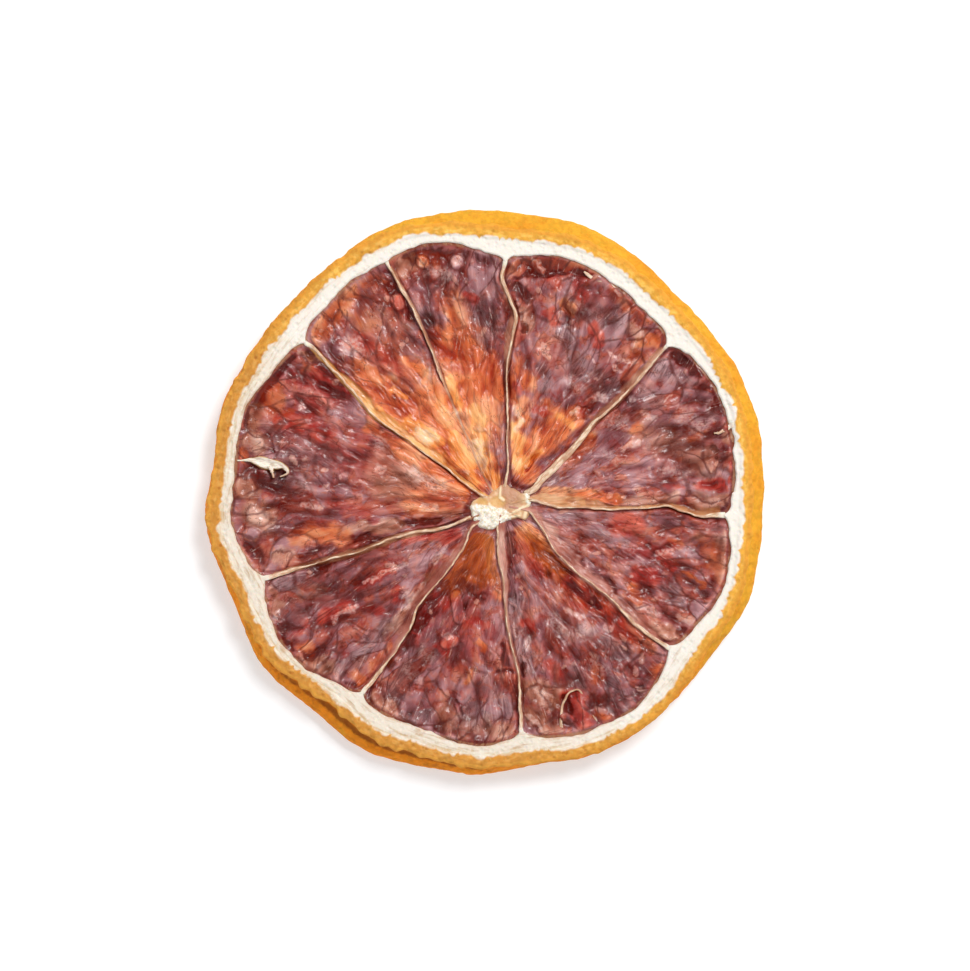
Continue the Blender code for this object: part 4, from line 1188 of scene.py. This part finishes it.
class Segment:
    """A lattice over the pulp between one membrane and the next, with how far in its points are."""

    def __init__(self, number):
        self.number = number
        self.name = list(MEMBRANES)[number]
        first, second = (MEMBRANES[name] for name in (list(MEMBRANES) * 2)[number:number + 2])
        columns, rows = np.linspace(0, 1, COLUMNS + 1), np.linspace(0, 1, ROWS + 1)
        share, out = np.meshgrid(columns, rows, indexing="ij")
        share = share - CROWDING * np.sin(math.tau * share)
        self.routes = [rounded_route(look["route"]) for look in (first, second)]
        tried = np.arange(8, 32, 0.1)
        start, turn = self.sides(tried)
        x, y = from_core(tried, start + turn * share[:, :1])
        reach = np.array([np.interp(UNDER_PITH, -row, tried) for row in inside_pith(x, y)])
        self.distance = UNDER_CORE + (reach[:, None] - UNDER_CORE) * out
        start, turn = self.sides(self.distance)
        width = np.radians(turn) * self.distance
        lap = SUNK_LAP / width * eased((SUNK_INSIDE - self.distance) / SINK_RUN)
        sunk = MEMBRANES[SUNK_MEMBRANE]
        share = share - lap * (first is sunk) * (1 - share) ** LAP_POWER
        share = share + lap * (second is sunk) * np.clip(share, 0, 1) ** LAP_POWER
        core_angle = start + turn * share
        self.across = np.radians(core_angle) * ACROSS_RADIUS
        self.x, self.y = from_core(self.distance, core_angle)
        self.angle = angle_of(self.x, self.y)
        self.to_pith = inside_pith(self.x, self.y)
        past, short = share * width - first["crest"], (1 - share) * width - second["crest"]
        ahead, behind = self.skin_on(first["ahead"], past), self.skin_on(second["behind"], short)
        self.skin = np.maximum(ahead, behind)
        self.tint = np.where(ahead > behind, first["tint"], second["tint"])
        self.near_sunk, self.over_sunk = np.zeros((2, *self.x.shape))
        for look, beside in ((first, share * width), (second, (1 - share) * width)):
            if look is sunk:
                near = eased((1.5 - beside) / 1.2) * eased((SUNK_INSIDE - self.distance) / 4)
                self.near_sunk = np.maximum(self.near_sunk, near)
                self.over_sunk = near * eased(1.1 - beside / 1.2)
                self.lapped = beside < 0
        sides = np.stack([past, short, self.to_pith, self.distance - core_edge(core_angle)])
        least = sides.min(0)
        rounded = least - CORNER * np.log(np.exp(-(sides - least) / CORNER).sum(0))
        self.inside = rounded + 0.9 * self.near_sunk
        self.edge = least + 2 * self.near_sunk

    def sides(self, distance):
        """The angle of the first membrane at this distance from the core, and the turn on to the second."""
        start, end = (np.interp(distance, SPAN, route) for route in self.routes)
        return start, (end - start) % 360

    def grain(self, size, seed):
        return grain(self.x, self.y, size, seed)

    def ripple(self, size, seed, amount):
        return ripple(self.x, self.y, size, seed, amount)

    def skin_on(self, widths, beside):
        """How far up a membrane's skin each point is: 0 out on the pulp and 1 at the crest."""
        ragged = 0.7 + 0.6 * self.grain(1.3, 40 + self.number) + self.ripple(0.5, 50, 0.4)
        width = width_at(self.distance, widths) * ragged * eased(self.to_pith / 1.2)
        return np.clip(1 - beside / np.maximum(width, 0.05), 0, 1) * (width > 0.12)

    def juice_sacs(self, seed, row_step, spacing, lengths, widths, rises, lean):
        """Sacs in rows across the segment: (x, y, tilt, half length, half width, rise) of each."""
        chance = random.Random(seed)
        sacs = []
        for row in range(int((LAST_SAC - FIRST_SAC) / row_step) + 1):
            distance = FIRST_SAC + row_step * row
            start, turn = self.sides(distance)
            count = max(1, round(math.radians(turn) * distance / spacing))
            for place in range(count):
                angle = start + turn * (place + 0.5 + chance.uniform(-0.35, 0.35)) / count
                out = distance + chance.uniform(-0.5, 0.5) * row_step
                x, y = from_core(out, angle)
                tilt = angle + chance.uniform(-lean, lean)
                sacs.append((x, y, tilt, *(chance.uniform(*limits) for limits in (lengths, widths, rises))))
        return sacs

    def domes(self, sacs, seed, roundness):
        """How high the sacs stand, and the shade and the own lie (along, across, which) of the top one."""
        chance = np.random.default_rng(seed)
        highest, shade = np.zeros(self.x.shape), np.full(self.x.shape, 0.5)
        lie = np.stack((self.distance, self.across, shade * 0), -1)
        for number, (x, y, tilt, half_length, half_width, rise) in enumerate(sacs):
            cos, sin = math.cos(math.radians(tilt)), math.sin(math.radians(tilt))
            along = (self.x - x) * cos + (self.y - y) * sin
            across = (self.y - y) * cos - (self.x - x) * sin
            taper = 1 + 0.35 * np.clip(along / half_length, -1, 1)
            size = (along / half_length) ** 2 + (across / (half_width * taper)) ** 2
            dome = rise * np.clip(1 - size, 0, 1) ** roundness
            top, tone = dome > highest, chance.random()
            highest = np.where(top, dome, highest)
            shade = np.where(top, tone, shade)
            own = np.stack((along, across, np.full(top.shape, number + 1.0)), -1)
            lie = np.where(top[..., None], own, lie)
        return highest, shade, lie

    def stains(self, kind):
        """How strongly one kind of stain shows, with edges that wander."""
        seed = 300 + 10 * self.number
        aside = self.ripple(1.1, seed, 0.9) + self.ripple(0.45, seed + 2, 0.4)
        along = self.ripple(1.1, seed + 1, 0.9) + self.ripple(0.45, seed + 3, 0.4)
        return near_lines(self.x + aside, self.y + along, STAINS[self.name].get(kind, ()), 0.9)


def softened(level, times):
    """The level with each point averaged with its neighbours, along and across, this many times."""
    for _ in range(times):
        for axis in (0, 1):
            padded = np.pad(level, [(1, 1) if axis == side else (0, 0) for side in (0, 1)], mode="edge")
            low, high = (padded[:-2], padded[2:]) if axis == 0 else (padded[:, :-2], padded[:, 2:])
            level = (low + 2 * level + high) / 4
    return level


def creases(x, y, size, seed):
    """Crests that wander every way, from 0 in the hollows between them to 1 on top."""
    sway = 1.3 * size * (grain(x, y, size * 1.7, seed) - 0.5)
    wave = grain(0.8 * x + 0.6 * y + sway, 0.8 * y - 0.6 * x - sway, size, seed + 1)
    return 1 - np.abs(2 * wave - 1)


def front_of(segment):
    """The level of the pulp's upper face, and everything about it that its finish reads."""
    seed = 1000 + 20 * segment.number
    out, across, to_pith = segment.distance, segment.across, segment.to_pith
    large = segment.juice_sacs(10 * segment.number, *LARGE_SACS)
    medium = segment.juice_sacs(seed, *MEDIUM_SACS)
    pebbles = segment.juice_sacs(seed + 1, *PEBBLES)
    beads = segment.juice_sacs(seed + 2, *BEADS)
    rise, shade, lie = segment.domes(large, seed, 1)
    mid_rise, _, mid_lie = segment.domes(medium, seed + 1, 0.8)
    pebble_rise, _, _ = segment.domes(pebbles, seed + 2, 0.5)
    bead_rise, bead_shade, _ = segment.domes(beads, seed + 3, 0.5)
    free = eased(segment.inside / WALL_WIDTH) * (1 - 0.65 * eased(segment.skin * 2))
    stains = {kind: segment.stains(kind) * np.maximum(free, 0.4) for kind in STAIN_RISE}
    drops = near_lines(segment.x, segment.y, DROPS.get(segment.name, ()), 0.35)
    moat = np.exp(-(((drops - 0.3) / 0.25) ** 2)) * (drops > 0.01)
    stains["dark"] = stains["dark"] * (1 - drops)
    # amber, pale and warm pulp is smoother, and beads stand in clusters
    smooth = 1 - np.maximum(0.7 * np.maximum(stains["amber"], stains["pale"]), 0.25 * stains["warm"])
    in_clusters = eased(4 * (segment.grain(3.1, seed + 8) - 0.6))
    bead_rise = bead_rise * in_clusters * smooth * free
    # the sheet sags between its borders, dips just before them and climbs at them
    beside = np.exp(-np.clip(segment.inside, 0, None) / TROUGH_WIDTH)
    trough = eased(segment.inside / 0.3) * beside
    level = height(segment.angle) - PULP_SINK - PULP_SAG * eased(segment.inside / 5)
    level -= TROUGH * trough * (1 - segment.near_sunk)
    level += PULP_CLIMB * eased(1 - to_pith / 1.2) + SKIN_CLIMB * segment.skin ** 1.4
    level += 0.14 * np.exp(-np.clip(segment.edge, 0, None) / 0.3) * (1 - segment.near_sunk)
    # sacs, with pebbles in place of the medium ones near the pith, then folds, stains, beads and drops
    outer = eased((6.5 - to_pith) / 4)
    level += (0.8 * rise + smooth * (0.8 * mid_rise * (1 - 0.6 * outer) + 0.9 * pebble_rise * outer)) * free
    folds = (
        0.4 * (creases(out * 0.4, across, 2.0, seed + 4) - 0.5)
        + 0.16 * (creases(out * 0.4, across, 0.9, seed + 5) - 0.5)
        + 0.05 * (creases(segment.x, segment.y, 0.5, seed + 6) - 0.5)
    )
    level += folds * free * smooth
    level += sum(STAIN_RISE[kind] * stain for kind, stain in stains.items()) * free
    level = softened(level, 1) + bead_rise + 0.34 * np.sqrt(drops) - 0.12 * moat
    if segment.over_sunk.any():
        shared = 0.5 * segment.grain(1.7, 970) + 0.25 * segment.grain(0.7, 971)
        shared += height(segment.angle) - PULP_SINK - 0.3 - 0.1 * segment.lapped
        level += (shared - level) * segment.over_sunk
    # the finish paints what lies below its surroundings darker and what stands above lighter: painted shade
    # and highlight
    depth = 0.6 * (level - softened(level, 8)) + 0.9 * (level - softened(level, 90))
    wander = segment.ripple(5, seed + 7, 2.4) + segment.ripple(1.6, seed + 9, 0.5)
    marks = dict(stains, depth=depth, shade=shade, edge=segment.edge, to_pith=np.clip(to_pith, 0, 30))
    marks.update(moat=moat, skin=segment.skin, tint=segment.tint)
    marks.update(bead=eased(bead_rise / 0.08), bead_shade=bead_shade)
    marks["flow"] = np.stack((out, across + wander, np.full(across.shape, seed * 1.0)), -1)
    marks["lie"] = np.where((mid_rise > 0)[..., None], mid_lie + (0, 0, 50), lie)
    return level, marks


def back_of(segment):
    """The level of the pulp's underside, plainer than the front, and what its finish reads."""
    seed = 1500 + 20 * segment.number
    out, across = segment.distance, segment.across
    large = segment.juice_sacs(10 * segment.number + 1, *LARGE_SACS)
    rise, shade, lie = segment.domes(large, seed, 0.7)
    free = eased(segment.inside / WALL_WIDTH)
    level = BACK_EDGE + (BACK_PULP_SINK - BACK_EDGE) * free + PULP_SAG * eased(segment.inside / 5)
    fold = creases(out * 0.6, across, 1.3, seed + 2) + 0.4 * creases(out, across, 0.6, seed + 3)
    level -= (0.9 * rise + 0.2 * (fold - 0.7)) * free
    none = np.zeros(level.shape)
    marks = {kind: none for kind in (*STAIN_RISE, "bead", "bead_shade", "moat", "skin", "tint")}
    marks.update(edge=segment.edge, shade=shade, to_pith=np.clip(segment.to_pith, 0, 30), lie=lie)
    marks["depth"] = softened(level, 20) - level
    blush = 0.6 * segment.grain(3.5, seed) + 0.4 * segment.grain(1.3, seed + 4)
    marks["warm"] = 0.5 * eased((blush - 0.5) * 2.5) + 0.35 * eased((9 - out) / 5)
    marks["flow"] = np.stack((out, across, np.full(across.shape, seed * 1.0)), -1)
    return level, marks


def slab_blank(name):
    """A flat box with a fine grid on its top and underneath."""
    select_only()
    bpy.ops.mesh.primitive_grid_add(x_subdivisions=COLUMNS // 2, y_subdivisions=ROWS // 2, size=2)
    slab = new_piece(name)
    bpy.ops.object.mode_set(mode="EDIT")
    bpy.ops.mesh.select_all(action="SELECT")
    bpy.ops.mesh.extrude_region_move(TRANSFORM_OT_translate={"value": (0, 0, 1)})
    bpy.ops.mesh.subdivide(number_cuts=1)
    bpy.ops.object.mode_set(mode="OBJECT")
    return slab


def pulp_segment(number):
    segment = Segment(number)
    slab = slab_blank("pulp_" + segment.name)
    x, y, z = points_of(slab).T
    column = np.round((x + 1) / 2 * COLUMNS).astype(int)
    row = np.round((y + 1) / 2 * ROWS).astype(int)
    (top, top_marks), (under, under_marks) = front_of(segment), back_of(segment)
    above = z > 0.5
    level = np.where(above, top[column, row], under[column, row])
    place(slab, segment.x[column, row], segment.y[column, row], level)
    for name, values in top_marks.items():
        here = above[:, None] if values.ndim == 3 else above
        mark(slab, name, np.where(here, values[column, row], under_marks[name][column, row]))
    return slab


def pulp_finish():
    finish = Finish(
        "pulp", Specular_IOR_Level=0.24, Coat_Roughness=0.05, Subsurface_Weight=0.3,
        Subsurface_Scale=0.0005, Subsurface_Radius=(1, 0.35, 0.25),
    )
    place_mm, flow, lie = finish.place(), finish.read_vector("flow"), finish.read_vector("lie")
    depth, shade, edge, to_pith = map(finish.read, ("depth", "shade", "edge", "to_pith"))
    # patterns that run along the segments or along each sac, and patterns that don't
    marble = finish.noise(finish.stretch(flow, (0.28, 0.8, 1)), 1.0, 5, 0.6, 0.3)
    fine = finish.noise(finish.stretch(lie, (0.7, 2.6, 3.7)), 1.2, 3, 0.6)
    lines = finish.noise(finish.stretch(lie, (0.3, 4.6, 3.7)), 1.1, 2, 0.6)
    swayed = [marble, (0.8, 0.8, 0), flow]
    warped = finish.node("ShaderNodeVectorMath", {"operation": "MULTIPLY_ADD"}, swayed)
    cells = {"Vector": finish.stretch(warped, (0.24, 0.8, 1)), "Scale": 1.0, "Randomness": 1}
    skins = finish.node("ShaderNodeTexVoronoi", {"feature": "DISTANCE_TO_EDGE"}, cells)
    cell_shade = finish.node("ShaderNodeTexVoronoi", {}, cells, "Color")
    broad = finish.noise(place_mm, 0.2, 2, 0.5, 0.5).between(0.35, 0.65)
    mottle = finish.noise(place_mm, 0.5, 3, 0.55, 0.5)
    blush = finish.noise(place_mm, 0.75, 3, 0.55, 0.8)
    specks = finish.noise(place_mm, 3.2, 3, 0.6)
    feather = (marble - 0.5) * 1.0 + (fine - 0.5) * 0.5

    def share_of(kind):
        return (finish.read(kind) * 1.3 + feather).between(0.15, 0.95)

    # 0 in the folds, thick and dark, and 1 on the crests, thin and pale: in part painted shade and
    # highlight
    tone = depth * 0.9 + (marble - 0.5) * 0.4 + (fine - 0.5) * 0.16 + (lines - 0.5) * 0.26
    tone = tone + (broad - 0.5) * 0.48 + 0.42 + (cell_shade - 0.5) * 0.26
    # dark marks: dark juice, and painted shade in the crevices beside the membranes
    tone = tone + share_of("pale") * 0.38 - share_of("dark") * 0.45 + to_pith.between(11, 22) * 0.04

    def by_fold_shade(fold, middle, crest):
        stops = ((0.0, fold), (0.42, middle), (1.0, crest))
        return finish.node("ShaderNodeValToRGB", {"stops": stops}, [tone])

    def stained(clean, kind, strength, *stops):
        return finish.mix(clean, by_fold_shade(*stops), share_of(kind) * strength)

    # the pulp where no stain is: rose and mauve, with rust and crimson patches
    rose = by_fold_shade((0.12, 0.006, 0.003), (0.345, 0.092, 0.084), (0.66, 0.32, 0.28))
    mauve = by_fold_shade((0.09, 0.007, 0.006), (0.262, 0.088, 0.096), (0.54, 0.29, 0.3))
    rust = by_fold_shade((0.13, 0.007, 0.002), (0.38, 0.058, 0.026), (0.7, 0.26, 0.15))
    crimson = by_fold_shade((0.08, 0.003, 0.002), (0.25, 0.016, 0.01), (0.58, 0.17, 0.12))
    colour = finish.mix(rose, mauve, (mottle + cell_shade * 0.3 - 0.15).between(0.4, 0.58))
    rusty = (blush + shade * 0.2 - cell_shade * 0.3 + 0.1).between(0.53, 0.69)
    colour = finish.mix(colour, rust, rusty * 0.75)
    red_patches = finish.noise(place_mm, 0.9, 3, 0.55, 0.5).between(0.54, 0.68)
    colour = finish.mix(colour, crimson, red_patches * 0.7)
    # the stains, one kind over another, with fine dark and pale lines on the grey marks: grey pulp and
    # painted sheen
    colour = stained(colour, "grey", 0.5, (0.045, 0.012, 0.012), (0.17, 0.085, 0.09), (0.44, 0.29, 0.29))
    ruled = share_of("grey")
    dark_lines = ruled.most(share_of("dark")) * (1 - lines.between(0.38, 0.5))
    colour = finish.mix(colour, (0.05, 0.01, 0.008), dark_lines * 0.5)
    colour = finish.mix(colour, (0.5, 0.34, 0.32), ruled * lines.between(0.58, 0.7) * 0.18)
    # brown and amber marks beside the membranes also paint the shade in the troughs there
    colour = stained(colour, "brown", 0.8, (0.1, 0.005, 0.001), (0.34, 0.038, 0.006), (0.6, 0.17, 0.06))
    colour = stained(colour, "tan", 0.75, (0.2, 0.045, 0.02), (0.46, 0.18, 0.11), (0.76, 0.46, 0.35))
    warm = by_fold_shade((0.4, 0.03, 0.006), (0.74, 0.18, 0.055), (0.93, 0.48, 0.24))
    dull = by_fold_shade((0.2, 0.014, 0.003), (0.52, 0.1, 0.028), (0.78, 0.34, 0.16))
    warm_colour = finish.mix(dull, warm, to_pith.between(5, 12))
    colour = finish.mix(colour, warm_colour, share_of("warm") * 0.9)
    # painted glow: light coming through the thin pulp, painted as bright orange
    colour = stained(colour, "glow", 0.9, (0.62, 0.13, 0.02), (0.88, 0.32, 0.08), (0.97, 0.6, 0.27))
    colour = stained(colour, "red", 0.85, (0.11, 0.002, 0.001), (0.36, 0.016, 0.007), (0.66, 0.14, 0.085))
    colour = stained(colour, "amber", 0.92, (0.2, 0.02, 0.002), (0.46, 0.08, 0.008), (0.7, 0.24, 0.05))
    # pale marks: painted highlights, with some pale patches of the pulp's own colour
    pale = share_of("pale") * specks.between(0.35, 0.6)
    colour = finish.mix(colour, (0.8, 0.56, 0.5), pale * 0.4)
    # the membranes' skins, drawn down over the pulp
    skin, tint = finish.read("skin"), finish.read("tint")
    pink_skin = by_fold_shade((0.2, 0.035, 0.022), (0.44, 0.15, 0.11), (0.78, 0.48, 0.38))
    tan_skin = by_fold_shade((0.2, 0.05, 0.02), (0.5, 0.23, 0.12), (0.8, 0.54, 0.36))
    orange_skin = by_fold_shade((0.5, 0.15, 0.03), (0.84, 0.42, 0.13), (0.97, 0.72, 0.4))
    skin_colour = finish.mix(pink_skin, tan_skin, tint.between(0.05, 0.5))
    skin_colour = finish.mix(skin_colour, orange_skin, tint.between(0.5, 1.0))
    colour = finish.mix(colour, skin_colour, (skin * 1.5 + feather * 0.5).between(0.05, 0.75) * 0.85)
    # small beads of juice, dark red or now and then pale
    pale_bead = finish.read("bead_shade").between(0.75, 0.95)
    bead_colour = finish.mix((0.2, 0.008, 0.004), (0.7, 0.36, 0.27), pale_bead)
    colour = finish.mix(colour, bead_colour, finish.read("bead") * 0.4)
    # pale hairs, which also paint highlights along the sacs' edges, and thin dark cracks, in patches
    hairs_and_highlights = lines.between(0.6, 0.7) * specks.between(0.3, 0.6) * mottle.between(0.4, 0.6)
    colour = finish.mix(colour, (0.72, 0.5, 0.42), hairs_and_highlights * 0.5)
    wave = finish.noise(finish.stretch(flow, (0.5, 1.0, 1)), 0.9, 3, 0.6, 0.8)
    clear = 1 - skin.between(0.0, 0.3) * 0.7 - finish.read("glow").between(0.0, 0.6) * 0.5
    cracks = (1 - (wave - 0.5).math("ABSOLUTE").between(0.004, 0.022)) * blush.between(0.4, 0.6) * clear
    colour = finish.mix(colour, (0.1, 0.012, 0.006), cracks * 0.6)
    seams = (1 - skins.between(0.01, 0.075)) * (mottle + marble * 0.5).between(0.5, 0.8) * clear
    colour = finish.mix(colour, (0.1, 0.01, 0.006), seams * (0.75 - to_pith.between(3, 12) * 0.4))
    # painted shade round the drops and along the borders, and a brown line at the pith, partly stain and
    # partly painted shade
    colour = finish.mix(colour, (0.12, 0.016, 0.01), finish.read("moat") * 0.5)
    border_shade = (1 - (edge + specks * 0.5).between(0.1, 0.5)) * (blush + skin * -0.4).between(0.3, 0.6)
    colour = finish.mix(colour, (0.12, 0.028, 0.014), border_shade * 0.6)
    rim_colour = finish.mix((0.26, 0.07, 0.03), (0.5, 0.26, 0.14), blush.between(0.45, 0.55))
    rim = 1 - (to_pith + specks * 0.3).between(0.1, 0.35)
    colour = finish.mix(colour, rim_colour, rim * 0.6)
    relief = finish.bump(skins.between(0.0, 0.2), 0.14, 0.35)
    for pattern, distance, strength in (
        (marble, 0.22, 0.35), (fine, 0.08, 0.35), (lines, 0.05, 0.3), (specks, 0.03, 0.35),
    ):
        relief = finish.bump(pattern, distance, strength, relief)
    finish.finish_with(
        Base_Color=colour,
        Roughness=marble * 0.4 + 0.06,
        Coat_Weight=specks.between(0.5, 0.64) * 0.3,
        Normal=relief,
    )
    return finish


juice = pulp_finish()
for number in range(len(MEMBRANES)):
    hand_in(pulp_segment(number), juice)

# STUDIO. A white table under a white sky, with a soft lamp over the slice's upper right. The camera looks
# straight down from half a metre through a long lens.
IMAGE_WIDTH, IMAGE_HEIGHT = 970, 971
MM_PER_PIXEL = 0.1074
WHEEL_AT = (485.6, 491.8)  # the middle of the plan in the picture, in pixels
LENS, SENSOR = 180, 36
TABLE_SIZE = 3  # this and the lamp's sizes are in metres
TABLE_WHITE = (0.605, 0.62, 0.635, 1)
LAMP_SIZE, LAMP_WATTS, LAMP_AT = 0.22, 3.35, (0.21, 0.3, 0.55)
WHITE = (1, 1, 1, 1)
# The sky's strength between these two shares of upward: dim right overhead, bright below
SKY = {"From Min": 0.95, "From Max": 0.74, "To Min": 0.06, "To Max": 0.82}

select_only()
bpy.ops.mesh.primitive_plane_add(size=TABLE_SIZE, location=(0, 0, 0))
table = new_piece("table")
paint = Finish("table", Roughness=0.7, Base_Color=TABLE_WHITE, Emission_Color=WHITE, Emission_Strength=0.42)
table.data.materials.append(paint.material)

world = bpy.data.worlds.new("sky")
bpy.context.scene.world = world
world.use_nodes = True
sky = world.node_tree
direction = sky.nodes.new("ShaderNodeTexCoord")
upward = sky.nodes.new("ShaderNodeSeparateXYZ")
dome = sky.nodes.new("ShaderNodeMapRange")
dome.interpolation_type = "SMOOTHSTEP"
for socket, value in SKY.items():
    dome.inputs[socket].default_value = value
sky.links.new(direction.outputs["Generated"], upward.inputs[0])
sky.links.new(upward.outputs["Z"], dome.inputs["Value"])
sky.links.new(dome.outputs[0], sky.nodes["Background"].inputs["Strength"])
sky.nodes["Background"].inputs["Color"].default_value = WHITE

lamp_data = bpy.data.lights.new("lamp", "AREA")
lamp_data.size = LAMP_SIZE
lamp_data.energy = LAMP_WATTS
lamp = bpy.data.objects.new("lamp", lamp_data)
lamp.location = LAMP_AT
lamp.rotation_euler = (-lamp.location).to_track_quat("-Z", "Y").to_euler()
bpy.context.scene.collection.objects.link(lamp)

camera_data = bpy.data.cameras.new("camera")
camera_data.lens = LENS
camera_data.sensor_width = SENSOR
camera_data.clip_start = 0.01
camera = bpy.data.objects.new("camera", camera_data)
away = max(IMAGE_WIDTH, IMAGE_HEIGHT) * MM_PER_PIXEL * LENS / SENSOR
camera.location = (
    ((IMAGE_WIDTH / 2 - WHEEL_AT[0]) * MM_PER_PIXEL - MIDDLE[0]) * MM,
    ((WHEEL_AT[1] - IMAGE_HEIGHT / 2) * MM_PER_PIXEL - MIDDLE[1]) * MM,
    (away + THICKNESS) * MM,
)
bpy.context.scene.collection.objects.link(camera)
bpy.context.scene.camera = camera
bpy.context.scene.view_settings.view_transform = "Standard"
bpy.context.scene.view_settings.look = "None"
